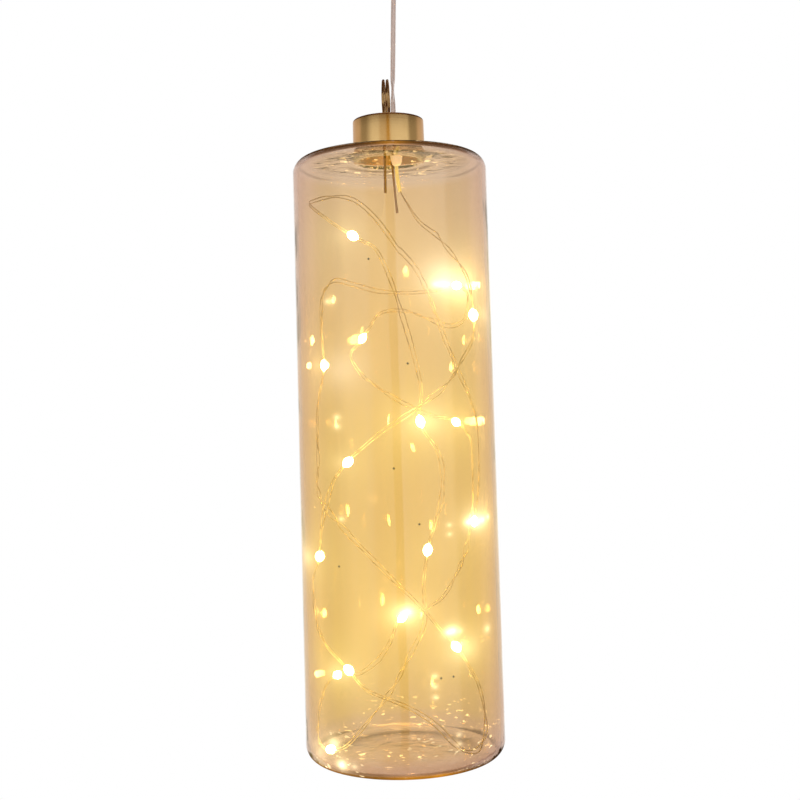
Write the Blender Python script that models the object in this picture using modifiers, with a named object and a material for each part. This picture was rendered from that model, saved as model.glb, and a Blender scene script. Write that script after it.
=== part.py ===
"""Hanging glass LED light: a tinted glass cylinder on a sprung wire eye, with a string of lamps inside.

The wire's two legs go down through a clear grommet and spring against the inside of the glass's
neck. A brass cap turns on the grommet and covers the neck. A thin cord comes through the grommet
into a blob of set adhesive, and two sleeves below it lead to the string, which lies in loops near
the glass wall: a pair of strands with a lamp in a droplet of clear resin every so often.

Metres, +Z up. The origin is the inside of the eye's crown, where a hook carries the light. The
glass stands on the Z axis below it, and -Y is the front.
"""

from math import cos, pi, radians, sin

import bmesh
import bpy
from mathutils import Matrix, Vector

MM = 0.001

# Levels on the light's axis
CAP_TOP = -16.0 * MM
GLASS_TOP = -32.0 * MM  # the flat shoulder that the cap's edge stands over
GLASS_HEIGHT = 246.0 * MM
GLASS_FOOT = GLASS_TOP - GLASS_HEIGHT
SEAT_GAP = 0.3 * MM  # between pieces that touch

# Glass body
GLASS_TOP_RADIUS = 40.0 * MM
GLASS_FOOT_RADIUS = 41.0 * MM  # blown glass is a touch wider at its foot
GLASS_WALL = 1.6 * MM
GLASS_CORNER = 6.0 * MM
BASE_THICKNESS = 3.0 * MM
PUNT_RADIUS = 22.0 * MM
PUNT_RISE = 1.2 * MM
NECK_RADIUS = 13.6 * MM
NECK_BORE = 11.9 * MM
NECK_HEIGHT = 11.5 * MM
NECK_ROOT = 0.4 * MM  # bevel between the neck and the shoulder
NECK_FLARE = 2.2 * MM  # round edge between the bore and the inside of the shoulder

# Cap
CAP_TOP_RADIUS = 14.7 * MM
CAP_EDGE_RADIUS = 15.0 * MM
CAP_HEIGHT = -GLASS_TOP + CAP_TOP - SEAT_GAP
CAP_SHEET = 0.4 * MM
CAP_CORNER = 0.9 * MM
CAP_BEAD = 0.45 * MM  # radius of the rolled edge
CAP_HOLE = 5.9 * MM

# Grommet, which carries the cap, the wire's legs and the cord
BUSH_HUB = 5.6 * MM
BUSH_FLANGE = 7.0 * MM
BUSH_FLANGE_THICKNESS = 0.9 * MM

# Wire eye
WIRE_RADIUS = 0.55 * MM
EYE_HALF_WIDTH = 5.5 * MM
EYE_HALF_HEIGHT = 6.9 * MM
EYE_PITCH = 1.65 * MM  # from one turn of the eye to the next, along X
EYE_FIRST_CROWN = -1.45 * MM
EYE_TURNS = 1.5  # from the front side round to the back side
EYE_POINTS_PER_TURN = 26
SWEEP_POINTS = 10
SWEEP_START = 0.35  # share of the way down from the eye's side at which a leg starts to turn in
FRONT_LEG = ((-1.7, -3.6, -14.3), (-1.7, -3.6, -18.2), (-1.6, -10.6, -26.5), (-1.9, -10.6, -48.0))
BACK_LEG = ((0.45, 3.6, -14.3), (0.45, 3.6, -18.2), (0.8, 10.6, -26.5), (3.0, 10.5, -52.8))

# Cord, its end in the adhesive and its grip at the ceiling
CORD_RADIUS = 0.9 * MM
CORD_ROUTE = ((2.3, 0, -17.85), (2.3, 0, -12), (2.3, 0, -4), (2.6, 0, 5), (3.4, 0, 26), (4.1, 0, 44))
GRIP_RADIUS = 5.0 * MM
GRIP_HEIGHT = 14.0 * MM
ANCHOR_AXIS = 3.1 * MM
ANCHOR_TOP_RADIUS = 2.3 * MM
ANCHOR_RADIUS = 3.1 * MM
ANCHOR_TIP = -35.0 * MM
SLEEVE_RADIUS = 0.65 * MM
SLEEVE_SPREAD = 1.0 * MM  # of each sleeve from the plane between them
SLEEVE_ROUTE = ((3.0, -35.3), (3.3, -40.0), (4.2, -45.5))  # across and up, the same for both

# String of lamps
STRAND_RADIUS = 0.22 * MM
STRAND_NEAR = 0.42 * MM  # of a strand from the middle of the pair, at a lamp
STRAND_FAR = 0.95 * MM  # and midway between two lamps
STRAND_STEP = 12.0 * MM
LAMP_STRAIGHT = 3.4 * MM  # the strands run straight for this far each side of a lamp
DROPLET_LENGTH = 5.6 * MM
DROPLET_RADIUS = 1.85 * MM
DROPLET_INSET = 0.3 * MM  # of the droplet's middle from the strands, away from the glass
CHIP_SIZE = (1.6 * MM, 1.0 * MM, 0.5 * MM)
STRAND_CLEARANCE = 0.3 * MM
OUTER, MIDDLE, INNER = 36.2 * MM, 33.8 * MM, 31.4 * MM  # the layers that crossing stretches lie in
LAMP_REACH = 35.2 * MM  # a droplet's middle comes no nearer to the wall
BEND, LAMP = False, True

# The string's route: degrees round from the front, towards the right; millimetres below the
# shoulder; the layer; and whether a lamp sits there.
STRING_ROUTE = (
    (34, 36, INNER, BEND), (43, 43, MIDDLE, BEND), (53, 52, OUTER, BEND), (65, 67, OUTER, LAMP),
    (57, 78, OUTER, BEND), (45, 86, OUTER, BEND), (33, 95, OUTER, BEND), (12, 104, OUTER, BEND),
    (-10, 113, OUTER, BEND), (-33, 124, OUTER, LAMP), (-45, 133, OUTER, BEND), (-56, 148, OUTER, BEND),
    (-66, 162, OUTER, LAMP), (-78, 172, OUTER, BEND), (-76, 184, OUTER, BEND), (-59, 195, OUTER, BEND),
    (-37, 205, OUTER, LAMP), (-22, 212, OUTER, BEND), (2, 218, OUTER, BEND), (18, 225, OUTER, BEND),
    (33, 235, OUTER, BEND), (47, 239, OUTER, BEND), (59, 235, OUTER, BEND), (60, 225, OUTER, BEND),
    (52, 212, OUTER, BEND), (36, 197, OUTER, LAMP), (26, 190, MIDDLE, BEND), (12, 180, MIDDLE, BEND),
    (-6, 169, MIDDLE, BEND), (-19, 161, MIDDLE, BEND), (-36, 152, MIDDLE, BEND),
    (-54, 144, MIDDLE, BEND), (-76, 135, MIDDLE, BEND), (-98, 126, MIDDLE, BEND),
    (-109, 114, OUTER, BEND), (-112, 100, OUTER, BEND), (-118, 84, OUTER, LAMP),
    (-119, 66, OUTER, BEND), (-123, 53, OUTER, BEND), (-134, 47, OUTER, BEND),
    (-150, 48, OUTER, BEND), (-170, 51, OUTER, BEND), (-190, 52, OUTER, BEND),
    (-211, 52, OUTER, BEND), (-233, 51, OUTER, LAMP), (-244, 57, OUTER, BEND),
    (-238, 66, OUTER, BEND), (-222, 68, OUTER, BEND), (-205, 64, OUTER, BEND),
    (-187, 60, OUTER, BEND), (-170, 61, OUTER, BEND), (-156, 72, OUTER, LAMP),
    (-147, 79, OUTER, BEND), (-154, 87, OUTER, BEND), (-170, 95, OUTER, BEND),
    (-188, 102, OUTER, BEND), (-206, 107, OUTER, BEND), (-228, 110, OUTER, LAMP),
    (-241, 118, OUTER, BEND), (-243, 132, OUTER, BEND), (-241, 147, OUTER, BEND),
    (-232, 166, OUTER, BEND), (-214, 184, OUTER, BEND), (-198, 192, OUTER, BEND),
    (-180, 196, OUTER, LAMP), (-171, 206, OUTER, BEND), (-162, 214, OUTER, BEND),
    (-147, 219, OUTER, BEND), (-124, 217, OUTER, LAMP), (-107, 222, OUTER, BEND),
    (-88, 231, OUTER, BEND), (-73, 237, OUTER, BEND), (-57, 238, OUTER, LAMP),
    (-42, 235, MIDDLE, BEND), (-28, 226, INNER, BEND), (-8, 212, INNER, BEND),
    (5, 199, INNER, BEND), (16, 187, INNER, BEND), (16, 173, INNER, BEND), (20, 159, INNER, LAMP),
    (26, 149, INNER, BEND), (30, 137, MIDDLE, BEND), (29, 123, MIDDLE, BEND),
    (16, 109, MIDDLE, LAMP), (17, 97, MIDDLE, BEND), (13, 84, MIDDLE, BEND), (6, 68, MIDDLE, BEND),
    (-1, 54, MIDDLE, BEND), (-10, 42, MIDDLE, BEND), (-26, 36, MIDDLE, LAMP),
    (-42, 30, MIDDLE, BEND), (-56, 25, MIDDLE, BEND), (-78, 19, MIDDLE, BEND),
    (-105, 15, MIDDLE, BEND), (-130, 11, MIDDLE, BEND), (-150, 11, MIDDLE, BEND),
    (-167, 18, MIDDLE, BEND), (-183, 31, MIDDLE, BEND), (-199, 43, MIDDLE, BEND),
    (-210, 57, MIDDLE, BEND), (-220, 72, MIDDLE, BEND), (-232, 86, MIDDLE, BEND),
    (-249, 99, MIDDLE, BEND), (-264, 109, MIDDLE, BEND), (-270, 124, MIDDLE, BEND),
    (-264, 138, MIDDLE, BEND), (-252, 152, MIDDLE, LAMP),
)

TURN_STEPS = 48
SMALL_STEPS = 24
MERGE = 0.00001


def clear_scene():
    """Empties the scene, so that the script can run again."""
    for obj in list(bpy.data.objects):
        bpy.data.objects.remove(obj, do_unlink=True)


def make_collection(name):
    collection = bpy.data.collections.new(name)
    bpy.context.scene.collection.children.link(collection)
    return collection


def finish(name, colour, roughness, metallic=0.0, transmission=0.0):
    """A plain material with the piece's own colour."""
    material = bpy.data.materials.new(name)
    material.use_nodes = True
    shader = material.node_tree.nodes["Principled BSDF"]
    shader.inputs["Base Color"].default_value = (*colour, 1.0)
    shader.inputs["Roughness"].default_value = roughness
    shader.inputs["Metallic"].default_value = metallic
    shader.inputs["Transmission Weight"].default_value = transmission
    return material


def place(name, data, material, group="parts"):
    """Links a new object to its collection and gives it its material."""
    obj = bpy.data.objects.new(name, data)
    if material is not None:
        data.materials.append(material)
    COLLECTIONS[group].objects.link(obj)
    return obj


def arc(centre, radius, start, end, steps):
    """Points of a turned profile on an arc, each as distance from the axis and height. Degrees from +X."""
    turns = [radians(start + (end - start) * i / steps) for i in range(steps + 1)]
    return [(centre[0] + radius * cos(a), centre[1] + radius * sin(a)) for a in turns]


def turned(name, profile, material, closed=False, steps=TURN_STEPS, group="parts"):
    """A solid of revolution about Z. The profile runs down its outer side, and closed joins its ends."""
    edges = [(i, i + 1) for i in range(len(profile) - 1)]
    if closed:
        edges.append((len(profile) - 1, 0))
    mesh = bpy.data.meshes.new(name)
    mesh.from_pydata([(r, 0.0, z) for r, z in profile], edges, [])
    obj = place(name, mesh, material, group)
    screw = obj.modifiers.new("turn", "SCREW")
    screw.steps = screw.render_steps = steps
    screw.use_smooth_shade = True
    screw.use_merge_vertices = True
    screw.merge_threshold = MERGE
    return obj


def wire(name, points, radius, material, sides=2):
    """A round wire through the points, with closed ends. sides is the curve's bevel resolution."""
    curve = bpy.data.curves.new(name, "CURVE")
    curve.dimensions = "3D"
    curve.bevel_depth = radius
    curve.bevel_resolution = sides
    curve.use_fill_caps = True
    spline = curve.splines.new("POLY")
    spline.points.add(len(points) - 1)
    for point, where in zip(spline.points, points):
        point.co = (*where, 1.0)
    spline.use_smooth = True
    return place(name, curve, material)


def cut(obj, cutter):
    """Takes the cutter's shape out of obj."""
    cutter.hide_render = True
    cutter.display_type = "WIRE"
    boolean = obj.modifiers.new("cut_" + cutter.name, "BOOLEAN")
    boolean.operation = "DIFFERENCE"
    boolean.object = cutter


def round_cutter(name, x, y, low, high, radius):
    """An upright round cutter from low to high."""
    mesh = bpy.data.meshes.new(name)
    shape = bmesh.new()
    bmesh.ops.create_cone(shape, cap_ends=True, segments=SMALL_STEPS, radius1=radius, radius2=radius,
                          depth=high - low)
    shape.to_mesh(mesh)
    shape.free()
    cutter = place(name, mesh, None, "cutters")
    cutter.location = (x, y, (low + high) / 2)
    return cutter


def smooth_route(points, steps):
    """Points on a smooth curve through the given ones, steps of them to each stretch."""
    ends = [points[0] * 2 - points[1]] + points + [points[-1] * 2 - points[-2]]
    route = []
    for i in range(len(points) - 1):
        before, start, end, after = ends[i:i + 4]
        for k in range(steps):
            t = k / steps
            route.append((start * 2 + (end - before) * t
                          + (before * 2 - start * 5 + end * 4 - after) * t ** 2
                          + (start * 3 - before - end * 3 + after) * t ** 3) / 2)
    return route + [points[-1]]


def lengths_along(route):
    """How far each point of a route lies from its start."""
    along = [0.0]
    for start, end in zip(route, route[1:]):
        along.append(along[-1] + (end - start).length)
    return along


def spaced(route, step):
    """The same route with evenly spaced points, about step apart."""
    along = lengths_along(route)
    count = max(1, round(along[-1] / step))
    points, i = [], 0
    for k in range(count + 1):
        target = along[-1] * k / count
        while i < len(route) - 2 and along[i + 1] < target:
            i += 1
        share = (target - along[i]) / (along[i + 1] - along[i])
        points.append(route[i].lerp(route[i + 1], share))
    return points


def in_metres(points):
    return [Vector(point) * MM for point in points]


def least_gap(points, radius, apart):
    """The least gap of a wire to itself, between points over apart from each other along it."""
    along = lengths_along(points)
    gaps = [(points[i] - points[k]).length
            for i in range(len(points)) for k in range(i) if along[i] - along[k] > apart]
    return min(gaps) - 2 * radius


def make_glass(material):
    """The blown cylinder: a foot with a shallow punt, a rounded shoulder and a short neck."""
    corner, wall = GLASS_CORNER, GLASS_WALL
    inner_corner = corner - wall
    top_centre = (GLASS_TOP_RADIUS - corner, GLASS_TOP - corner)
    foot_centre = (GLASS_FOOT_RADIUS - corner, GLASS_FOOT + corner)
    floor = GLASS_FOOT + BASE_THICKNESS
    ceiling = GLASS_TOP - wall
    lip = (NECK_RADIUS - NECK_BORE) / 2
    lip_centre = (NECK_BORE + lip, GLASS_TOP + NECK_HEIGHT - lip)
    inside = [(0.0, floor + PUNT_RISE), (PUNT_RADIUS * 0.6, floor + PUNT_RISE * 0.7), (PUNT_RADIUS, floor)]
    inside += arc((foot_centre[0], floor + inner_corner), inner_corner, -90, 0, 4)
    inside += arc(top_centre, inner_corner, 0, 90, 4)
    inside += arc((NECK_BORE + NECK_FLARE, ceiling + NECK_FLARE), NECK_FLARE, -90, -180, 4)
    rim = arc(lip_centre, lip, 180, 0, 4)
    outside = [(NECK_RADIUS, GLASS_TOP + NECK_ROOT), (NECK_RADIUS + NECK_ROOT, GLASS_TOP)]
    outside += arc(top_centre, corner, 90, 0, 6)
    outside += arc(foot_centre, corner, 0, -90, 6)
    outside += [(PUNT_RADIUS, GLASS_FOOT), (PUNT_RADIUS * 0.6, GLASS_FOOT + PUNT_RISE * 0.7)]
    outside += [(0.0, GLASS_FOOT + PUNT_RISE)]
    return turned("glass_body", inside + rim + outside, material)


def make_cap(material):
    """The pressed cap: a flat top with a round hole, a skirt that flares a little, and a rolled edge."""
    edge = CAP_TOP - CAP_HEIGHT
    under = CAP_TOP - CAP_SHEET
    corner_centre = (CAP_TOP_RADIUS - CAP_CORNER, CAP_TOP - CAP_CORNER)
    bead_centre = (CAP_EDGE_RADIUS - CAP_BEAD, edge + CAP_BEAD)
    skirt_foot = edge + 3 * CAP_BEAD
    profile = [(CAP_HOLE, CAP_TOP)]
    profile += arc(corner_centre, CAP_CORNER, 90, 0, 4)
    profile += [(CAP_EDGE_RADIUS - 0.15 * MM, skirt_foot)]
    profile += arc(bead_centre, CAP_BEAD, 60, -180, 6)
    profile += [(CAP_EDGE_RADIUS - 0.15 * MM - CAP_SHEET, skirt_foot)]
    profile += arc(corner_centre, CAP_CORNER - CAP_SHEET, 0, 90, 3)
    profile += [(CAP_HOLE, under)]
    return turned("cap_shell", profile, material, closed=True)


def make_bush(material):
    """The grommet: a hub in the cap's hole between two flanges, with holes for both legs and the cord."""
    top = CAP_TOP + SEAT_GAP
    bottom = CAP_TOP - CAP_SHEET - SEAT_GAP
    low = bottom - BUSH_FLANGE_THICKNESS
    high = top + BUSH_FLANGE_THICKNESS
    profile = [(0.0, high), (BUSH_FLANGE - 0.4 * MM, high), (BUSH_FLANGE, high - 0.4 * MM)]
    profile += [(BUSH_FLANGE, top), (BUSH_HUB, top), (BUSH_HUB, bottom), (BUSH_FLANGE, bottom)]
    profile += [(BUSH_FLANGE, low), (0.0, low)]
    bush = turned("cord_bush", profile, material, steps=36)
    holes = (("front_leg_hole", FRONT_LEG[0], WIRE_RADIUS), ("back_leg_hole", BACK_LEG[0], WIRE_RADIUS),
             ("cord_hole", CORD_ROUTE[0], CORD_RADIUS))
    for name, (x, y, _), radius in holes:
        cut(bush, round_cutter(name, x * MM, y * MM, low - MM, high + MM, radius + SEAT_GAP))
    return bush


def eye_point(turn):
    """The wire's middle on the eye, turn radians past its first crown and going back over it."""
    middle = WIRE_RADIUS - EYE_HALF_HEIGHT
    return Vector((EYE_FIRST_CROWN + EYE_PITCH * turn / (2 * pi), EYE_HALF_WIDTH * sin(turn),
                   middle + EYE_HALF_HEIGHT * cos(turn)))


def sweep_in(start, end):
    """Points from the eye's side down to the grommet: upright at both ends, and turning in late."""
    points = []
    for k in range(1, SWEEP_POINTS):
        down = k / SWEEP_POINTS
        late = max(0.0, (down - SWEEP_START) / (1 - SWEEP_START))
        share = late * late * (3 - 2 * late)
        point = start.lerp(end, share)
        point.z = start.z + (end.z - start.z) * down
        points.append(point)
    return points


def leg_route(leg):
    """The leg from above the grommet to its tip: straight through, out to the neck's wall, and down."""
    top, below, knee, tip = in_metres(leg)
    out = smooth_route([below, below.lerp(knee, 0.5), knee, knee.lerp(tip, 0.5), tip], 4)
    return [top] + out


def hanger_route():
    """The whole wire, from the front leg's tip through both turns of the eye to the back leg's tip."""
    first, last = -pi / 2, -pi / 2 + 2 * pi * EYE_TURNS
    steps = round(EYE_POINTS_PER_TURN * EYE_TURNS)
    eye = [eye_point(first + (last - first) * k / steps) for k in range(steps + 1)]
    front, back = leg_route(FRONT_LEG), leg_route(BACK_LEG)
    rise = sweep_in(eye[0], front[0])
    fall = sweep_in(eye[-1], back[0])
    return front[::-1] + rise[::-1] + eye + fall + back


def make_hanger(material):
    """The eye and its two sprung legs, bent from one wire."""
    route = hanger_route()
    gap = least_gap(route, WIRE_RADIUS, 6 * WIRE_RADIUS)
    print(f"least gap between the eye's turns: {gap / MM:.2f} mm")
    return wire("hanger_wire", route, WIRE_RADIUS, material)


def make_cord(cord_material, grip_material):
    """The cord from the adhesive up to the grip that holds it at the ceiling."""
    route = spaced(smooth_route(in_metres(CORD_ROUTE), 6), 4 * MM)
    wire("power_cord", route, CORD_RADIUS, cord_material)
    grip = turned("ceiling_grip", [
        (0.0, GRIP_HEIGHT), (GRIP_RADIUS, GRIP_HEIGHT), (GRIP_RADIUS, GRIP_HEIGHT * 0.45),
        (GRIP_RADIUS * 0.86, GRIP_HEIGHT * 0.4), (GRIP_RADIUS * 0.74, GRIP_HEIGHT * 0.16),
        (GRIP_RADIUS * 0.5, GRIP_HEIGHT * 0.03), (CORD_RADIUS * 1.6, 0.0), (0.0, 0.0)],
        grip_material, steps=SMALL_STEPS)
    grip.location = route[-1] + Vector((0, 0, SEAT_GAP))


def make_anchor(material):
    """The blob of set adhesive under the grommet, which holds the cord's end and both sleeves."""
    top = CORD_ROUTE[0][2] * MM - SEAT_GAP
    depth = top - ANCHOR_TIP
    profile = [(0.0, top), (ANCHOR_TOP_RADIUS, top), (ANCHOR_RADIUS * 0.92, top - depth * 0.18)]
    profile += [(ANCHOR_RADIUS, top - depth * 0.4), (ANCHOR_RADIUS * 0.9, top - depth * 0.62)]
    profile += [(ANCHOR_RADIUS * 0.78, top - depth * 0.82), (ANCHOR_RADIUS * 0.66, top - depth * 0.95)]
    profile += [(ANCHOR_RADIUS * 0.5, ANCHOR_TIP), (0.0, ANCHOR_TIP)]
    anchor = turned("cord_anchor", profile, material, steps=18)
    anchor.location.x = ANCHOR_AXIS


def sleeve_points(side):
    """A sleeve's middle line. side is -1 for the front one and 1 for the back one."""
    return in_metres([(x, side * SLEEVE_SPREAD / MM, z) for x, z in SLEEVE_ROUTE])


def string_stations():
    """The string's middle line as straight stretches through the lamps and smooth ones between them.

    Returns a list of (point, share of the way from lamp to lamp) and a list of each lamp's
    (middle, direction).
    """
    middles = []
    for angle, drop, layer, is_lamp in STRING_ROUTE:
        reach = min(layer, LAMP_REACH) if is_lamp else layer
        turn = radians(angle)
        middles.append(Vector((reach * sin(turn), -reach * cos(turn), GLASS_TOP - drop * MM)))
    lamps, spans, span = [], [], [middles[0]]
    for i in range(1, len(middles)):
        if STRING_ROUTE[i][3]:
            onward = middles[i + 1] if i + 1 < len(middles) else middles[i] * 2 - middles[i - 1]
            direction = (onward - middles[i - 1]).normalized()
            lamps.append((middles[i], direction))
            spans.append(span + [middles[i] - direction * LAMP_STRAIGHT])
            span = [middles[i] + direction * LAMP_STRAIGHT]
        else:
            span.append(middles[i])
    stations = []
    for number, span in enumerate(spans):
        points = spaced(smooth_route(span, 8), STRAND_STEP)
        from_middle = 1 if number == 0 else 0  # the string starts midway, where its strands lie apart
        stations += [(point, (k / (len(points) - 1) + from_middle) / (1 + from_middle))
                     for k, point in enumerate(points)]
    tail = lamps[-1][0] + lamps[-1][1] * LAMP_STRAIGHT
    stations.append((tail, 0.0))
    return stations, lamps


def outward(point):
    """The direction from the light's axis out through a point."""
    return Vector((point.x, point.y, 0.0)).normalized()


def strand_points(stations, side):
    """One strand of the pair: beside the middle line, nearest to it at the lamps."""
    middle = [point for point, _ in stations]
    points = []
    for i, (point, share) in enumerate(stations):
        along = (middle[min(i + 1, len(middle) - 1)] - middle[max(i - 1, 0)]).normalized()
        across = along.cross(outward(point)).normalized()
        offset = STRAND_NEAR + (STRAND_FAR - STRAND_NEAR) * sin(pi * share) ** 2
        points.append(point + across * side * offset)
    return points


def make_lead(name, sleeve_end, strand_start, strand_next, material):
    """A strand from its sleeve out to where the string meets the glass wall."""
    away = (strand_start - strand_next).normalized()
    arrive = strand_start + away * (STRAND_RADIUS * 2)
    leave = sleeve_end + Vector((0.4, 0, -1)).normalized() * SEAT_GAP
    middle = leave.lerp(arrive, 0.5) + Vector((0, 0, -3 * MM))
    below = leave + Vector((0.5, 0, -1)).normalized() * 3 * MM
    wire(name, spaced(smooth_route([leave, below, middle, arrive], 6), 3 * MM), STRAND_RADIUS, material, 1)


def lamp_frame(middle, direction):
    """A lamp's own axes: X along the strands, Z away from the glass wall."""
    inward = -outward(middle)
    inward = (inward - direction * inward.dot(direction)).normalized()
    across = inward.cross(direction)
    turn = Matrix((direction, across, inward)).transposed()
    return Matrix.Translation(middle) @ turn.to_4x4()


def droplet_shape():
    """The mesh that all droplets share: a drawn-out bead, with its slot still to be cut."""
    mesh = bpy.data.meshes.new("droplet")
    shape = bmesh.new()
    bmesh.ops.create_uvsphere(shape, u_segments=12, v_segments=7, radius=1.0,
                              matrix=Matrix.Rotation(pi / 2, 4, "Y"))
    bmesh.ops.scale(shape, vec=(DROPLET_LENGTH / 2, DROPLET_RADIUS, DROPLET_RADIUS), verts=shape.verts)
    bmesh.ops.translate(shape, vec=(0, 0, DROPLET_INSET), verts=shape.verts)
    shape.to_mesh(mesh)
    shape.free()
    mesh.shade_smooth()
    return mesh


def box_shape(name, size, middle_height):
    """A box mesh around the X axis, with its middle at the given height."""
    mesh = bpy.data.meshes.new(name)
    shape = bmesh.new()
    bmesh.ops.create_cube(shape, size=1.0)
    bmesh.ops.scale(shape, vec=size, verts=shape.verts)
    bmesh.ops.translate(shape, vec=(0, 0, middle_height), verts=shape.verts)
    shape.to_mesh(mesh)
    shape.free()
    return mesh


def make_lamps(lamps, resin, chip_material):
    """A droplet and a chip at every lamp. The slot through each droplet holds the strands and the chip."""
    chip_height = STRAND_RADIUS + STRAND_CLEARANCE + CHIP_SIZE[2] / 2
    slot_low = -STRAND_RADIUS - STRAND_CLEARANCE
    slot_high = chip_height + CHIP_SIZE[2] / 2 + STRAND_CLEARANCE
    slot_width = 2 * (STRAND_NEAR + STRAND_RADIUS + STRAND_CLEARANCE)
    slot_size = (DROPLET_LENGTH * 2, slot_width, slot_high - slot_low)
    droplet = droplet_shape()
    droplet.materials.append(resin)
    chip = box_shape("chip", CHIP_SIZE, chip_height)
    chip.materials.append(chip_material)
    slot = box_shape("slot", slot_size, (slot_low + slot_high) / 2)
    for number, (middle, direction) in enumerate(lamps, start=1):
        frame = lamp_frame(middle, direction)
        bead = place(f"led_droplet_{number:02d}", droplet, None)
        lamp = place(f"led_chip_{number:02d}", chip, None)
        cutter = place(f"droplet_slot_{number:02d}", slot, None, "cutters")
        for obj in (bead, lamp, cutter):
            obj.matrix_world = frame
        cut(bead, cutter)


def make_string(strand_material, sleeve_material, resin, chip_material):
    """Sleeves, leads, both strands and the lamps."""
    stations, lamps = string_stations()
    for letter, side in (("a", -1), ("b", 1)):
        strand = strand_points(stations, side)
        sleeve = sleeve_points(side)
        wire(f"splice_sleeve_{letter}", smooth_route(sleeve, 3), SLEEVE_RADIUS, sleeve_material)
        make_lead(f"lead_wire_{letter}", sleeve[-1], strand[0], strand[1], strand_material)
        wire(f"string_wire_{letter}", strand, STRAND_RADIUS, strand_material, 1)
    middle = [point for point, _ in stations]
    length = lengths_along(middle)[-1]
    crossing = least_gap(middle, STRAND_RADIUS, 3 * STRAND_STEP)
    print(f"string: {length:.3f} m, {len(lamps)} lamps, least gap at a crossing {crossing / MM:.2f} mm")
    make_lamps(lamps, resin, chip_material)


clear_scene()
COLLECTIONS = {"parts": make_collection("hanging_glass_led_light"), "cutters": make_collection("cutters")}
make_hanger(finish("brass_wire", (0.42, 0.27, 0.12), 0.3, 1.0))
make_bush(finish("clear_rubber", (0.8, 0.78, 0.74), 0.3))
make_cap(finish("brushed_brass", (0.55, 0.36, 0.16), 0.32, 1.0))
make_cord(finish("clear_pvc", (0.62, 0.5, 0.46), 0.35), finish("grip_plastic", (0.8, 0.78, 0.74), 0.4))
make_anchor(finish("set_adhesive", (0.85, 0.72, 0.52), 0.5))
make_glass(finish("lustre_glass", (0.85, 0.62, 0.42), 0.05, transmission=1.0))
make_string(finish("enamelled_wire", (0.5, 0.38, 0.22), 0.35, 1.0), finish("sleeve", (0.75, 0.6, 0.3), 0.4),
            finish("clear_resin", (1.0, 0.93, 0.7), 0.1), finish("led_phosphor", (1.0, 0.85, 0.4), 0.5))
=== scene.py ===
"""Hanging glass LED light, dressed for a studio picture.

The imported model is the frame. Each piece made here takes the place of a CAD node, keeps to its form
and rides on its body. Metres, +Z up, -Y the front; the origin is the inside of the eye's crown.
"""

import logging
from dataclasses import dataclass, field
from enum import Enum
from functools import cache
from math import cos, pi, radians, sin
from typing import ClassVar, Iterable, Sequence

import bmesh
import bpy
from bmesh.types import BMesh
from bpy.types import ID, Curve, Material, Mesh, Node, NodeSocket, NodeTree, Object, Spline
from mathutils import Matrix, Vector, noise


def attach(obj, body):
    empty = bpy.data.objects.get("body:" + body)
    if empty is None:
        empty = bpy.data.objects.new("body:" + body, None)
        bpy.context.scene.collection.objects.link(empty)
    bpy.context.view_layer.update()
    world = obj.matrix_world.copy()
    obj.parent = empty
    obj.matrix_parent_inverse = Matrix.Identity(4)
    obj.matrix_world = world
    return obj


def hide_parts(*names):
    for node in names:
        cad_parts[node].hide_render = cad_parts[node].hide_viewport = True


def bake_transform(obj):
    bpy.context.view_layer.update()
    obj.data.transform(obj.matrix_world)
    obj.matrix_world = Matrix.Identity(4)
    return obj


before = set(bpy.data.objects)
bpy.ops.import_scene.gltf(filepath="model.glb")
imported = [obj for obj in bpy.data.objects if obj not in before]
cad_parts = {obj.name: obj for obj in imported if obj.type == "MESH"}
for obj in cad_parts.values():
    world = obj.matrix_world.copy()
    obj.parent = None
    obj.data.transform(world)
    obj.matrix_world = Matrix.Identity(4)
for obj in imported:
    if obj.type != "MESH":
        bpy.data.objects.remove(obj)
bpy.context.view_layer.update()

MM = 0.001
Pair = tuple[float, float]
Triple = tuple[float, float, float]
Colour = tuple[float, float, float]
Stops = tuple[Pair, ...]
Tones = tuple[tuple[float, Colour], ...]

# Heights that more than one piece keeps to, and the thickness of the cap's sheet
CAP_TOP = -16.0 * MM
SHOULDER = -32.0 * MM
FOOT = -278.0 * MM
CAP_SHEET = 0.4 * MM
# The refraction of glass and of clear plastic, and how close points are merged
IOR = 1.5
MERGE = 0.005 * MM

log = logging.getLogger("hanging_light")


class Body(Enum):
    """The moving bodies that pieces ride on."""

    HANGER = "hanger"
    CAP = "cap"
    GLASS = "glass"


class Strand(Enum):
    """The two strands of the string. The value is the side of the middle line that each lies on."""

    A = -1
    B = 1

    @property
    def letter(self) -> str:
        """The strand's letter in the names of pieces."""
        return self.name.lower()


class Layer(Enum):
    """How far from the axis a stretch of the string lies, so that crossing stretches keep clear."""

    OUTER = 36.2 * MM
    MIDDLE = 33.8 * MM
    INNER = 31.4 * MM


def in_metres(points: Iterable[Triple]) -> list[Vector]:
    """Turns points in millimetres into vectors in metres."""
    return [Vector(point) * MM for point in points]


def smooth_route(points: Sequence[Vector], steps: int) -> list[Vector]:
    """Threads a smooth curve through points.

    Args:
        points: The points to pass through.
        steps: How many points to put on each stretch.

    Returns:
        The curve's points, the last one included.
    """
    ends = [points[0] * 2 - points[1], *points, points[-1] * 2 - points[-2]]
    route = []
    for i in range(len(points) - 1):
        before, start, end, after = ends[i:i + 4]
        for k in range(steps):
            t = k / steps
            route.append((start * 2 + (end - before) * t
                          + (before * 2 - start * 5 + end * 4 - after) * t ** 2
                          + (start * 3 - before - end * 3 + after) * t ** 3) / 2)
    return [*route, points[-1].copy()]


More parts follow.
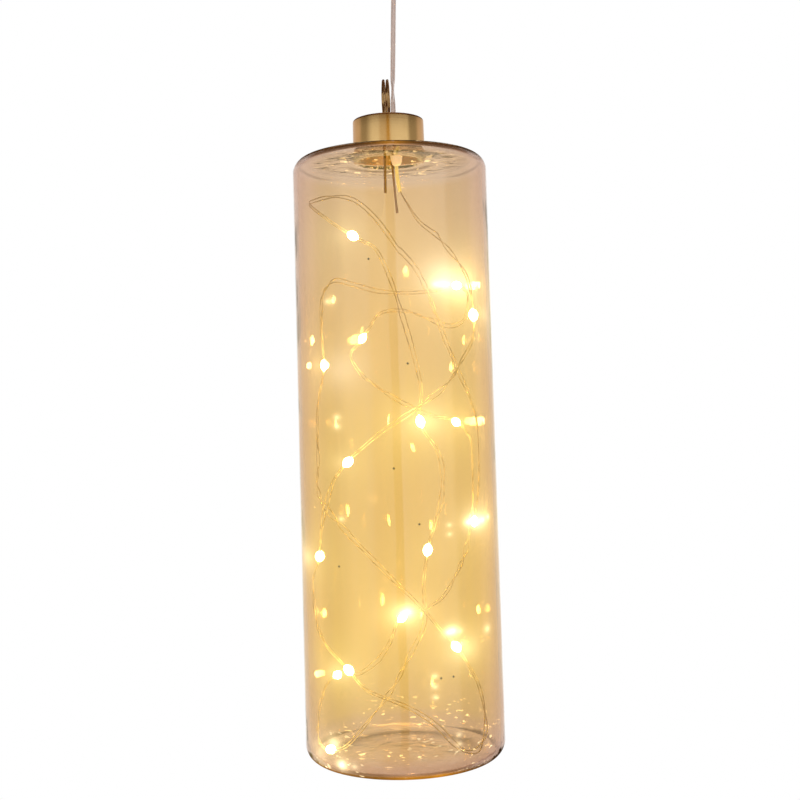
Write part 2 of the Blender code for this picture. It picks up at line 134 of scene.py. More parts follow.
def lengths_along(route: Sequence[Vector]) -> list[float]:
    """Measures a route.

    Args:
        route: Its points.

    Returns:
        How far each point lies from the start.
    """
    along = [0.0]
    for start, end in zip(route, route[1:]):
        along.append(along[-1] + (end - start).length)
    return along


def spaced(route: Sequence[Vector], step: float) -> list[Vector]:
    """Spaces a route's points evenly.

    Args:
        route: The points as they are.
        step: The distance wanted between points, in metres.

    Returns:
        Points on the same route, about step apart.
    """
    along = lengths_along(route)
    count = max(1, round(along[-1] / step))
    points, i = [], 0
    for k in range(count + 1):
        target = along[-1] * k / count
        while i < len(route) - 2 and along[i + 1] < target:
            i += 1
        share = (target - along[i]) / (along[i + 1] - along[i])
        points.append(route[i].lerp(route[i + 1], share))
    return points


def outward(point: Vector) -> Vector:
    """The direction from the light's axis out through a point."""
    return Vector((point.x, point.y, 0.0)).normalized()


def eased(share: float) -> float:
    """A share from 0 to 1 that starts and ends gently."""
    return share * share * (3 - 2 * share)


def arc(centre: Pair, radius: float, start: float, end: float, steps: int) -> list[Pair]:
    """Points of a turned profile on an arc.

    Args:
        centre: The arc's middle, as distance from the axis and height.
        radius: The arc's radius.
        start: The first point's angle from outwards, in degrees.
        end: The last point's angle.
        steps: How many chords the arc has.

    Returns:
        The points, each as distance from the axis and height.
    """
    turns = [radians(start + (end - start) * i / steps) for i in range(steps + 1)]
    return [(centre[0] + radius * cos(a), centre[1] + radius * sin(a)) for a in turns]


class NodeSheet:
    """A node tree, with short calls that add nodes and join them."""

    def __init__(self, tree: NodeTree) -> None:
        """Starts on a tree that exists."""
        self.tree = tree

    def feed(self, node: Node, inputs: dict) -> None:
        """Fills a node's sockets.

        Args:
            node: The node.
            inputs: What goes into its sockets, by name or number: a value, or a socket to link.
        """
        for key, value in inputs.items():
            entry = node.inputs[key]
            if isinstance(value, NodeSocket):
                self.tree.links.new(value, entry)
            else:
                entry.default_value = (*value, 1.0) if entry.type == "RGBA" else value

    def add(self, kind: str, inputs: dict | None = None, **settings: object) -> Node:
        """Adds a node.

        Args:
            kind: The node's type name.
            inputs: What goes into its sockets, as feed takes it.
            settings: The node's own settings.

        Returns:
            The new node.
        """
        node = self.tree.nodes.new(kind)
        for key, value in settings.items():
            setattr(node, key, value)
        self.feed(node, inputs or {})
        return node

    def math(self, operation: str, *values: object) -> NodeSocket:
        """Adds a Math node and returns its result."""
        return self.add("ShaderNodeMath", dict(enumerate(values)), operation=operation).outputs[0]

    def product(self, first: object, *others: object) -> NodeSocket:
        """Multiplies numbers.

        Args:
            first: The first number.
            others: The rest.

        Returns:
            Their product.
        """
        for other in others:
            first = self.math("MULTIPLY", first, other)
        return first

    def vector_math(self, operation: str, *values: object) -> NodeSocket:
        """Adds a Vector Math node and returns its result, or its number where it has one."""
        node = self.add("ShaderNodeVectorMath", dict(enumerate(values)), operation=operation)
        return node.outputs["Value" if operation in ("DISTANCE", "LENGTH") else "Vector"]

    def scaled(self, vector: object, share: object) -> NodeSocket:
        """A vector or a colour, scaled by a number."""
        return self.add("ShaderNodeVectorMath", {0: vector, "Scale": share}, operation="SCALE").outputs[0]

    def object_point(self) -> NodeSocket:
        """The shaded point in the piece's own coordinates."""
        return self.add("ShaderNodeTexCoord").outputs["Object"]

    def stretched(self, scale: Triple) -> NodeSocket:
        """The shaded point with each axis scaled, so that a pattern can run along one of them."""
        return self.add("ShaderNodeMapping", {"Vector": self.object_point(), "Scale": scale}).outputs[0]

    def noise(self, point: NodeSocket, scale: float, detail: float = 2.0) -> NodeSocket:
        """Soft noise from 0 to 1 at a point."""
        inputs = {"Vector": point, "Scale": scale, "Detail": detail}
        return self.add("ShaderNodeTexNoise", inputs).outputs[0]

    def span(self, value: object, start: float, end: float) -> NodeSocket:
        """How far a number has come from start to end, as a share from 0 to 1."""
        return self.add("ShaderNodeMapRange", {0: value, 1: start, 2: end}).outputs[0]

    def spread(self, value: NodeSocket, low: float, high: float) -> NodeSocket:
        """Maps a number from 0 to 1 on to the range from low to high."""
        return self.add("ShaderNodeMapRange", {0: value, 3: low, 4: high}).outputs[0]

    def ramp(self, factor: NodeSocket, stops: Sequence[tuple[float, Colour]]) -> NodeSocket:
        """Colours a number.

        Args:
            factor: The number, from 0 to 1.
            stops: The colour at each position.

        Returns:
            The colour.
        """
        node = self.add("ShaderNodeValToRGB", {"Fac": factor})
        elements = node.color_ramp.elements
        while len(elements) < len(stops):
            elements.new(0.5)
        for element, (position, _) in zip(elements, stops):
            element.position = position
        for element, (_, colour) in zip(elements, stops):
            element.color = (*colour, 1.0)
        return node.outputs["Color"]

    def levels(self, factor: NodeSocket, *stops: Pair) -> NodeSocket:
        """A level that changes with a number, from stop to stop."""
        return self.ramp(factor, [(place, grey(level)) for place, level in stops])

    def mixed(self, share: object, first: object, second: object, blend: str = "MIX") -> NodeSocket:
        """Mixes two colours."""
        node = self.add("ShaderNodeMix", {0: share, 6: first, 7: second}, data_type="RGBA", blend_type=blend)
        return node.outputs[2]

    def mixed_shader(self, share: NodeSocket, first: Node, second: Node) -> Node:
        """Mixes two shaders."""
        return self.add("ShaderNodeMixShader", {0: share, 1: first.outputs[0], 2: second.outputs[0]})

    def bump(self, height: NodeSocket, strength: float, distance: float = 0.05 * MM) -> NodeSocket:
        """A surface normal that follows a height."""
        inputs = {"Height": height, "Strength": strength, "Distance": distance}
        return self.add("ShaderNodeBump", inputs).outputs["Normal"]


def grey(level: float) -> Colour:
    """A grey."""
    return (level, level, level)


@dataclass(frozen=True)
class Finish:
    """What a piece is made of: a Principled shader whose colour and surface vary as the real one's do."""

    name: str
    slot: str

    def dress(self, sheet: NodeSheet, shader: Node) -> None:
        """Sets up the shader on its node tree. Each finish has its own way."""
        raise NotImplementedError


@cache
def material_of(finish: Finish) -> Material:
    """Makes a finish's material, once.

    Args:
        finish: The finish.

    Returns:
        The material.
    """
    material = bpy.data.materials.new(finish.name)
    material.use_nodes = True
    finish.dress(NodeSheet(material.node_tree), material.node_tree.nodes["Principled BSDF"])
    return material


@dataclass(frozen=True)
class Brass(Finish):
    """Brass with fine lines from its making, cloudy patches and a satin surface."""

    pale: Colour
    deep: Colour
    roughness: Pair
    lines: Triple = (30.0, 30.0, 4000.0)
    line_depth: float = 0.12
    patch_scale: float = 130.0
    patch_detail: float = 3.0

    def dress(self, sheet: NodeSheet, shader: Node) -> None:
        """Sets up the metal.

        Args:
            sheet: The material's node tree.
            shader: Its Principled shader.
        """
        patches = sheet.noise(sheet.object_point(), self.patch_scale, self.patch_detail)
        lines = sheet.noise(sheet.stretched(self.lines), 1.0)
        sheet.feed(shader, {"Base Color": sheet.mixed(patches, self.pale, self.deep),
                            "Roughness": sheet.spread(patches, *self.roughness),
                            "Normal": sheet.bump(lines, self.line_depth), "Metallic": 1.0})


@dataclass(frozen=True)
class ClearPlastic(Finish):
    """Clear or cloudy plastic, rubber or resin, which lets part of the light through."""

    pale: Colour
    deep: Colour
    roughness: float
    clearness: float
    ripple_scale: float = 600.0
    ripple: float = 0.1
    # Painted lamp light: how strongly the piece glows in its pale colour
    lit: float = 0.0

    def dress(self, sheet: NodeSheet, shader: Node) -> None:
        """Sets up the plastic.

        Args:
            sheet: The material's node tree.
            shader: Its Principled shader.
        """
        ripples = sheet.noise(sheet.object_point(), self.ripple_scale)
        sheet.feed(shader, {"Base Color": sheet.mixed(ripples, self.pale, self.deep),
                            "Normal": sheet.bump(ripples, self.ripple), "Roughness": self.roughness,
                            "Transmission Weight": self.clearness, "IOR": IOR,
                            "Emission Color": self.pale, "Emission Strength": self.lit})


@dataclass(frozen=True)
class Glowing(Finish):
    """Resin or phosphor that gives off the lamp's light."""

    strength: float
    clearness: float
    roughness: float
    pale: Colour = (1.0, 0.93, 0.74)
    deep: Colour = (1.0, 0.86, 0.55)
    light: Colour = (1.0, 0.76, 0.36)
    cloud_scale: float = 900.0

    def dress(self, sheet: NodeSheet, shader: Node) -> None:
        """Sets up the glow.

        Args:
            sheet: The material's node tree.
            shader: Its Principled shader.
        """
        cloud = sheet.noise(sheet.object_point(), self.cloud_scale)
        sheet.feed(shader, {"Base Color": sheet.mixed(cloud, self.pale, self.deep),
                            "Roughness": self.roughness, "Transmission Weight": self.clearness, "IOR": IOR,
                            "Emission Color": self.light, "Emission Strength": self.strength})


@dataclass(frozen=True)
class LampGlow:
    """The painted light that one lamp leaves on what is near it."""

    place: Triple
    strength: float
    reach: float

    def reaching(self, reach: float) -> "LampGlow":
        """The same light with another reach."""
        return LampGlow(self.place, self.strength, reach)


def light_at(sheet: NodeSheet, point: NodeSocket, glows: Iterable[LampGlow],
             stretch: float = 1.0) -> NodeSocket:
    """Sums up painted lamp light at a point.

    Args:
        sheet: The node tree.
        point: The shaded point, with its height stretched.
        glows: The lights.
        stretch: How much the heights are stretched.

    Returns:
        The sum. Each light falls off with the square of the distance, twice over.
    """
    total: NodeSocket | float = 0.0
    for glow in glows:
        x, y, z = glow.place
        away = sheet.vector_math("DISTANCE", point, (x, y, z * stretch))
        fall = sheet.math("MULTIPLY_ADD", sheet.product(away, away), 1 / glow.reach ** 2, 1.0)
        total = sheet.math("ADD", total, sheet.math("DIVIDE", glow.strength, sheet.product(fall, fall)))
    return total


class GlassSheet(NodeSheet):
    """The glass's node tree, with where the shaded point lies and how the glass is there."""

    def __init__(self, tree: NodeTree, glass: "LustreGlass") -> None:
        """Adds the nodes that work these out.

        Args:
            tree: The material's node tree.
            glass: The glass's finish.
        """
        super().__init__(tree)
        self.point = self.object_point()
        parts = self.add("ShaderNodeSeparateXYZ", {0: self.point}).outputs
        self.depth, self.level = parts["Y"], parts["Z"]
        self.from_axis = self.vector_math("LENGTH", self.vector_math("MULTIPLY", self.point, (1.0, 1.0, 0.0)))
        # From the foot (0) to the shoulder (1), and from face-on (0) to edge-on (1)
        self.height = self.span(self.level, glass.foot, glass.top)
        self.facing = self.add("ShaderNodeLayerWeight", {"Blend": 0.5}).outputs["Facing"]
        self.streaks = self.noise(self.stretched(glass.streaks), 1.0)
        # How much there is of the painted shade along the rim, and of the glass's unevenness
        self.rim_shade = glass.rim_shade.share(self)
        self.uneven = glass.unevenness(self)


@dataclass(frozen=True)
class PaintedShadeRing:
    """A painted ring of shade on the glass, fuller towards the back."""

    tint: Colour
    # Distances from the axis where it starts and where it is deepest, and how wide it is from there out
    span: Pair
    width: float
    # How far back it starts, and how far back it is full
    back: Pair
    # Its end of the glass, from the foot (0) to the shoulder (1)
    heights: Pair

    def share(self, sheet: GlassSheet) -> NodeSocket:
        """Works out how much of the ring there is.

        Args:
            sheet: The node tree.

        Returns:
            The ring's share, soft on its inner side.
        """
        rise = sheet.span(sheet.from_axis, *self.span)
        fall = sheet.span(sheet.from_axis, self.span[1] + self.width, self.span[1])
        ends = [sheet.math("GREATER_THAN", sheet.height, self.heights[0]),
                sheet.math("LESS_THAN", sheet.height, self.heights[1])]
        return sheet.product(rise, rise, fall, sheet.span(sheet.depth, *self.back), *ends)


@dataclass(frozen=True)
class Rim:
    """The band along the rounded edges of the shoulder and the foot, where they turn edge-on."""

    # How much of it there is, from the foot (0) to the shoulder (1)
    stops: Stops
    facing: Pair
    out: Pair = (36.7 * MM, 37.3 * MM)

    def share(self, sheet: GlassSheet) -> NodeSocket:
        """How much of the rim there is at a place on the glass."""
        return sheet.product(sheet.levels(sheet.height, *self.stops), sheet.span(sheet.from_axis, *self.out),
                             sheet.span(sheet.facing, *self.facing))


@dataclass(frozen=True)
class LustreGlass(Finish):
    """Clear glass with a thin amber lustre, lit from inside by the lamps that lie near it.

    The lamps' light is painted into the glass as glow: a halo where each lamp lies against the wall,
    a wash round all of them, and light along the rims and in the neck. Painted shade darkens the rims
    and rings in the base and round the neck. The shoulder and the base are uneven, as blown glass is
    where it was worked, and carry painted sparkle.
    """

    glows: tuple[LampGlow, ...]
    glints: tuple[LampGlow, ...]
    hazes: tuple[LampGlow, ...]
    rim_glows: tuple[LampGlow, ...]
    seeds: tuple[Triple, ...]
    top: float = SHOULDER
    foot: float = FOOT
    neck: float = 14.4 * MM
    neck_foot: float = -34.0 * MM
    # The tint of one wall, from face-on (0) to edge-on (1)
    facing_stops: Tones = (
        (0.0, (0.84, 0.67, 0.47)), (0.3, (0.81, 0.67, 0.53)), (0.6, (0.79, 0.63, 0.56)),
        (0.85, (0.78, 0.61, 0.56)), (1.0, (0.80, 0.60, 0.56)))
    # Each tint, and how much of it shows from the foot (0) to the shoulder (1)
    deep_tint: Colour = (0.84, 0.63, 0.28)
    deep_stops: Stops = (
        (0.0, 0.25), (0.08, 0.5), (0.2, 0.6), (0.55, 0.5), (0.72, 0.3), (0.85, 0.12), (1.0, 0.05))
    crown_tint: Colour = (0.81, 0.70, 0.63)
    crown_stops: Stops = ((0.975, 0.0), (0.99, 1.0))
    heel_tint: Colour = (0.76, 0.59, 0.48)
    heel_stops: Stops = ((0.0, 1.0), (0.022, 1.0), (0.04, 0.0))
    # Painted shade: a ring in the base, and a ring round the neck's root in the shoulder
    ring: PaintedShadeRing = PaintedShadeRing((0.24, 0.14, 0.08), (19.0 * MM, 27.5 * MM), 5.0 * MM, (-4.0 * MM, 12.0 * MM),
                              (-1.0, 0.03))
    neck_shade_ring: PaintedShadeRing = PaintedShadeRing((0.12, 0.06, 0.025), (15.5 * MM, 18.5 * MM), 3.2 * MM, (4.0 * MM, 12.0 * MM),
                              (0.97, 2.0))
    # Painted shade along the rims where they turn edge-on, and painted light where they glow
    rim_shade_tint: Colour = (0.012, 0.002, 0.0002)
    rim_shade: Rim = Rim(((0.0, 1.0), (0.011, 1.0), (0.0135, 0.0), (0.9865, 0.0), (0.989, 1.0)), (0.31, 0.37))
    lit_rim: Rim = Rim(((0.0, 1.0), (0.009, 1.0), (0.0125, 0.0), (0.985, 0.0), (0.9885, 1.0)), (0.27, 0.33))
    seed_tint: Colour = (0.01, 0.006, 0.004)
    # From nothing of a seed to all of it
    seed_span: Pair = (0.6 * MM, 0.3 * MM)
    streaks: Triple = (140.0, 140.0, 3.0)
    streak_levels: Pair = (0.6, 1.4)
    # Where the glass is uneven, and how far from the axis that starts and is full in the shoulder
    uneven_stops: Stops = (
        (0.0, 1.0), (0.03, 1.0), (0.06, 0.4), (0.1, 0.0), (0.93, 0.0), (0.97, 0.4), (0.985, 0.6), (1.0, 0.8))
    crown_span: Pair = (33.0 * MM, 25.0 * MM)
    # The height that parts what is at the base from what is in the shoulder
    half_way: float = 0.5
    uneven_scale: float = 150.0
    uneven_detail: float = 1.5
    uneven_depth: float = 0.14 * MM
    crown_depth: float = 0.3 * MM
    wave_scale: float = 45.0
    wave_depth: float = 0.3 * MM
    streak_depth: float = 0.06 * MM
    # Painted sparkle: small glints in clusters where the glass is uneven
    sparkle: Triple = (260.0, 260.0, 700.0)
    sparkle_stops: Stops = ((0.68, 0.0), (0.73, 1.0))
    sparkle_strength: float = 1.6
    cluster_scale: float = 60.0
    cluster_stops: Stops = ((0.48, 0.0), (0.62, 1.0))
    # Painted light: the lamps' wash, halos and haze, and the glow along the rims
    wash: Colour = (1.0, 0.92, 0.20)
    wash_strength: float = 0.06
    wash_reach: float = 30.0 * MM
    # How much of the wash shows from the foot (0) to the shoulder (1), and from face-on (0) to edge-on (1)
    wash_stops: Stops = ((0.0, 0.1), (0.08, 0.4), (0.18, 0.8), (0.28, 1.0), (0.85, 1.0), (1.0, 0.5))
    wash_facing: Stops = ((0.0, 1.0), (0.5, 1.0), (0.7, 0.6), (0.95, 0.15))
    rim_light: Colour = (1.0, 0.38, 0.01)
    rim_glow: float = 0.12
    haze: Colour = (1.0, 0.95, 0.84)
    halo: Colour = (1.0, 0.84, 0.46)
    halo_strength: float = 0.6
    halo_width: float = 1.3
    # Painted light where the lamps' light gathers in the neck
    neck_light: Colour = (1.0, 0.80, 0.20)
    neck_glow: float = 0.08

    def seed_share(self, sheet: GlassSheet) -> NodeSocket:
        """Finds the small dark seeds in the glass.

        Args:
            sheet: The node tree.

        Returns:
            How much of a seed there is.
        """
        nearest = sheet.vector_math("DISTANCE", sheet.point, self.seeds[0])
        for seed in self.seeds[1:]:
            nearest = sheet.math("MINIMUM", nearest, sheet.vector_math("DISTANCE", sheet.point, seed))
        return sheet.span(nearest, *self.seed_span)

    def tint(self, sheet: GlassSheet) -> NodeSocket:
        """Works out the colour that light takes at one face of the wall.

        Args:
            sheet: The node tree.

        Returns:
            The colour.
        """
        deep = sheet.product(sheet.levels(sheet.height, *self.deep_stops),
                             sheet.spread(sheet.streaks, *self.streak_levels))
        colour = sheet.ramp(sheet.facing, self.facing_stops)
        # Painted shade: the base's ring, the ring round the neck and the band along the rims
        for share, tint in ((deep, self.deep_tint),
                            (sheet.levels(sheet.height, *self.crown_stops), self.crown_tint),
                            (sheet.levels(sheet.height, *self.heel_stops), self.heel_tint),
                            (self.ring.share(sheet), self.ring.tint),
                            (self.neck_shade_ring.share(sheet), self.neck_shade_ring.tint), (sheet.rim_shade, self.rim_shade_tint),
                            (self.seed_share(sheet), self.seed_tint)):
            colour = sheet.mixed(share, colour, tint)
        return colour

    def unevenness(self, sheet: GlassSheet) -> NodeSocket:
        """Works out how uneven the glass is: at the base, and in the shoulder inside its rounded edge.

        Args:
            sheet: The node tree.

        Returns:
            How much of the unevenness there is.
        """
        crown = sheet.math("MAXIMUM", sheet.span(sheet.from_axis, *self.crown_span),
                           sheet.math("LESS_THAN", sheet.height, self.half_way))
        return sheet.product(sheet.levels(sheet.height, *self.uneven_stops), crown)

    def sparks(self, sheet: GlassSheet) -> NodeSocket:
        """Works out the painted sparkle of the uneven glass.

        Args:
            sheet: The node tree.

        Returns:
            The sparks' strength, in clusters at the base and all over the shoulder.
        """
        sparks = sheet.levels(sheet.noise(sheet.stretched(self.sparkle), 1.0, 1.0), *self.sparkle_stops)
        clusters = sheet.levels(sheet.noise(sheet.point, self.cluster_scale, 1.0), *self.cluster_stops)
        clusters = sheet.math("MAXIMUM", clusters, sheet.math("GREATER_THAN", sheet.height, self.half_way))
        return sheet.product(sparks, clusters, sheet.uneven, self.sparkle_strength)

    def light(self, sheet: GlassSheet) -> NodeSocket:
        """Works out the lamps' light, painted into the glass as glow.

        Args:
            sheet: The node tree.

        Returns:
            The light's colour, with its strength in it.
        """
        point = sheet.vector_math("MULTIPLY", sheet.point, (1.0, 1.0, self.halo_width))
        halos, hazes, rims, wide = (
            light_at(sheet, point, lights, self.halo_width)
            for lights in (self.glows + self.glints, self.hazes, self.rim_glows,
                           [glow.reaching(self.wash_reach) for glow in self.glows]))
        wash = sheet.product(wide, sheet.levels(sheet.facing, *self.wash_facing),
                             sheet.spread(sheet.streaks, *self.streak_levels),
                             sheet.levels(sheet.height, *self.wash_stops), self.wash_strength)
        halos = sheet.math("MULTIPLY_ADD", halos, self.halo_strength, self.sparks(sheet))
        rim = sheet.math("MULTIPLY_ADD", rims, self.lit_rim.share(sheet),
                         sheet.product(wide, self.rim_glow, sheet.rim_shade))
        neck = sheet.product(sheet.math("LESS_THAN", sheet.from_axis, self.neck),
                             sheet.math("GREATER_THAN", sheet.level, self.neck_foot), self.neck_glow)
        total: object = grey(0.0)
        hazes = sheet.product(hazes, self.halo_strength)
        for colour, share in ((self.wash, wash), (self.halo, halos), (self.haze, hazes),
                              (self.rim_light, rim), (self.neck_light, neck)):
            total = sheet.vector_math("ADD", sheet.scaled(colour, share), total)
        return total

    def surface(self, sheet: GlassSheet) -> NodeSocket:
        """Works out the glass's surface: lumps where it is uneven, and soft waves and streaks all over.

        Args:
            sheet: The node tree.

        Returns:
            The surface's normal.
        """
        depth = sheet.math("MULTIPLY_ADD", sheet.height, self.crown_depth, self.uneven_depth)
        lumps = sheet.noise(sheet.point, self.uneven_scale, self.uneven_detail)
        lumps = sheet.product(lumps, sheet.uneven, depth)
        waves = sheet.noise(sheet.point, self.wave_scale, 1.0)
        waves = sheet.math("MULTIPLY_ADD", waves, self.wave_depth, lumps)
        return sheet.bump(sheet.math("MULTIPLY_ADD", sheet.streaks, self.streak_depth, waves), 1.0, 1.0)

    def dress(self, sheet: NodeSheet, shader: Node) -> None:
        """Sets up the glass, its lustre and the light in it.

        Args:
            sheet: The material's node tree.
            shader: Its Principled shader.
        """
        glass = GlassSheet(sheet.tree, self)
        glass.feed(shader, {"Base Color": self.tint(glass), "Emission Color": self.light(glass),
                            "Normal": self.surface(glass), "Roughness": 0.0, "Transmission Weight": 1.0,
                            "IOR": IOR, "Emission Strength": 1.0})


@dataclass(frozen=True)
class LitWire(Finish):
    """Enamelled wire with painted lamp light: it shines where a lamp lies near it."""

    lamps: tuple[Triple, ...]
    pale: Colour = (0.88, 0.74, 0.48)
    deep: Colour = (0.62, 0.47, 0.28)
    light: Colour = (1.0, 0.82, 0.40)
    patch_scale: float = 90.0
    patch_detail: float = 3.0
    glint_scale: float = 260.0
    glint_stops: Stops = ((0.4, 0.15), (0.65, 1.0))
    reach: float = 20.0 * MM
    strength: float = 1.5
    metal: float = 0.4
    roughness: float = 0.35

    def dress(self, sheet: NodeSheet, shader: Node) -> None:
        """Sets up the enamel and the lamps' painted light on it.

        Args:
            sheet: The material's node tree.
            shader: Its Principled shader.
        """
        point = sheet.object_point()
        patches = sheet.noise(point, self.patch_scale, self.patch_detail)
        glints = sheet.levels(sheet.noise(point, self.glint_scale), *self.glint_stops)
        near = light_at(sheet, point, [LampGlow(lamp, 1.0, self.reach) for lamp in self.lamps])
        lit = sheet.scaled(self.light, sheet.product(near, glints, self.strength))
        sheet.feed(shader, {"Base Color": sheet.mixed(patches, self.pale, self.deep), "Emission Color": lit,
                            "Metallic": self.metal, "Roughness": self.roughness, "Emission Strength": 1.0})


CAP_BRASS = Brass("cap_brass", "brushed_brass", (0.78, 0.53, 0.235), (0.67, 0.43, 0.165), (0.15, 0.24))
WIRE_BRASS = Brass("wire_brass", "brass_wire", (0.62, 0.42, 0.20), (0.30, 0.16, 0.05), (0.16, 0.3),
                   lines=(1500.0, 1500.0, 1500.0), line_depth=0.1, patch_scale=400.0)
CONDUCTOR = Brass("cord_conductor", "enamelled_wire", (0.66, 0.46, 0.34), (0.50, 0.32, 0.22), (0.2, 0.35),
                  lines=(900.0, 900.0, 900.0), line_depth=0.05, patch_scale=300.0)
CORD_VINYL = ClearPlastic("cord_vinyl", "clear_pvc", (0.78, 0.65, 0.58), (0.64, 0.50, 0.45), 0.25, 0.45)
GRIP_PLASTIC = ClearPlastic("grip_plastic", "grip_plastic", (0.84, 0.82, 0.78), (0.78, 0.76, 0.72), 0.4, 0.0,
                            ripple_scale=300.0)
BUSH_RUBBER = ClearPlastic("bush_rubber", "clear_rubber", (0.85, 0.82, 0.77), (0.76, 0.72, 0.66), 0.35, 0.3,
                           ripple_scale=400.0)
# The adhesive and the sleeves glow with painted lamp light
ADHESIVE = ClearPlastic("set_adhesive", "set_adhesive", (0.95, 0.84, 0.64), (0.90, 0.75, 0.52), 0.4, 0.1,
                        ripple_scale=700.0, ripple=0.4, lit=0.5)
SLEEVE_PLASTIC = ClearPlastic("sleeve_plastic", "sleeve", (0.95, 0.84, 0.30), (0.80, 0.62, 0.20), 0.35, 0.0,
                              ripple_scale=900.0, lit=0.6)
LAMP_RESIN = Glowing("lamp_resin", "clear_resin", strength=36.0, clearness=0.6, roughness=0.08)
LAMP_PHOSPHOR = Glowing("lamp_phosphor", "led_phosphor", strength=40.0, clearness=0.0, roughness=0.5)


def linked(name: str, data: ID) -> Object:
    """Adds an object to the scene, at the origin.

    Args:
        name: The name of the object and of its data.
        data: Its mesh, curve or camera.

    Returns:
        The object.
    """
    data.name = name
    obj = bpy.data.objects.new(name, data)
    bpy.context.scene.collection.objects.link(obj)
    return obj


def poly_spline(curve: Curve, points: Sequence[Sequence[float]]) -> Spline:
    """Adds a spline with straight stretches to a curve.

    Args:
        curve: The curve.
        points: The spline's points.

    Returns:
        The spline.
    """
    spline = curve.splines.new("POLY")
    spline.points.add(len(points) - 1)
    for spline_point, place in zip(spline.points, points):
        spline_point.co = (*place, 1.0)
    return spline


def wire_curve(points: Sequence[Vector], radius: float, sides: int) -> Curve:
    """A round wire through points.

    Args:
        points: The wire's middle line.
        radius: The wire's radius.
        sides: The curve's bevel resolution.

    Returns:
        The curve, with closed ends.
    """
    curve = bpy.data.curves.new("wire", "CURVE")
    curve.dimensions = "3D"
    curve.bevel_depth = radius
    curve.bevel_resolution = sides
    curve.use_fill_caps = True
    poly_spline(curve, points).use_smooth = True
    return curve


def as_mesh(obj: Object) -> Mesh:
    """Takes the finished form of an object as a mesh, and removes the object.

    Args:
        obj: The object.

    Returns:
        Its mesh, with the modifiers in it.
    """
    depsgraph = bpy.context.evaluated_depsgraph_get()
    mesh = bpy.data.meshes.new_from_object(obj.evaluated_get(depsgraph))
    bpy.data.objects.remove(obj, do_unlink=True)
    return mesh


def finished(shape: BMesh, smooth: bool = True) -> Mesh:
    """Turns a bmesh into a mesh.

    Args:
        shape: The bmesh, which is freed.
        smooth: Whether its faces are shaded smooth.

    Returns:
        The mesh.
    """
    mesh = bpy.data.meshes.new("shape")
    shape.to_mesh(mesh)
    shape.free()
    if smooth:
        mesh.shade_smooth()
    return mesh


def turned_mesh(profile: Sequence[Pair], steps: int, closed: bool = False) -> Mesh:
    """Turns a profile about the Z axis.

    Args:
        profile: Distances from the axis and heights, down the outer side.
        steps: How many steps make the full turn.
        closed: Whether the profile's ends join.

    Returns:
        The closed mesh, with its faces outwards.
    """
    shape = bmesh.new()
    verts = [shape.verts.new((r, 0.0, z)) for r, z in profile]
    edges = [shape.edges.new(pair) for pair in zip(verts, verts[1:])]
    if closed:
        edges.append(shape.edges.new((verts[-1], verts[0])))
    bmesh.ops.spin(shape, geom=verts + edges, cent=(0, 0, 0), axis=(0, 0, 1), dvec=(0, 0, 0), angle=2 * pi,
                   steps=steps, use_merge=True)
    bmesh.ops.remove_doubles(shape, verts=shape.verts, dist=MERGE)
    bmesh.ops.recalc_face_normals(shape, faces=shape.faces)
    return finished(shape)


@dataclass
class SubAssembly:
    """Pieces that ride on one body."""

    body: ClassVar[Body]

    def add(self, name: str, data: ID, finish: Finish, *nodes: str) -> Object:
        """Adds a finished piece.

        Args:
            name: The piece's name.
            data: Its mesh or curve.
            finish: What it is made of.
            nodes: The CAD nodes that it stands for.

        Returns:
            The piece, riding on the sub-assembly's body.
        """
        piece = linked(name, data)
        data.materials.append(material_of(finish))
        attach(piece, self.body.value)
        if nodes:
            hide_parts(*nodes)
        log.info("%s on %s", name, self.body.value)
        return piece


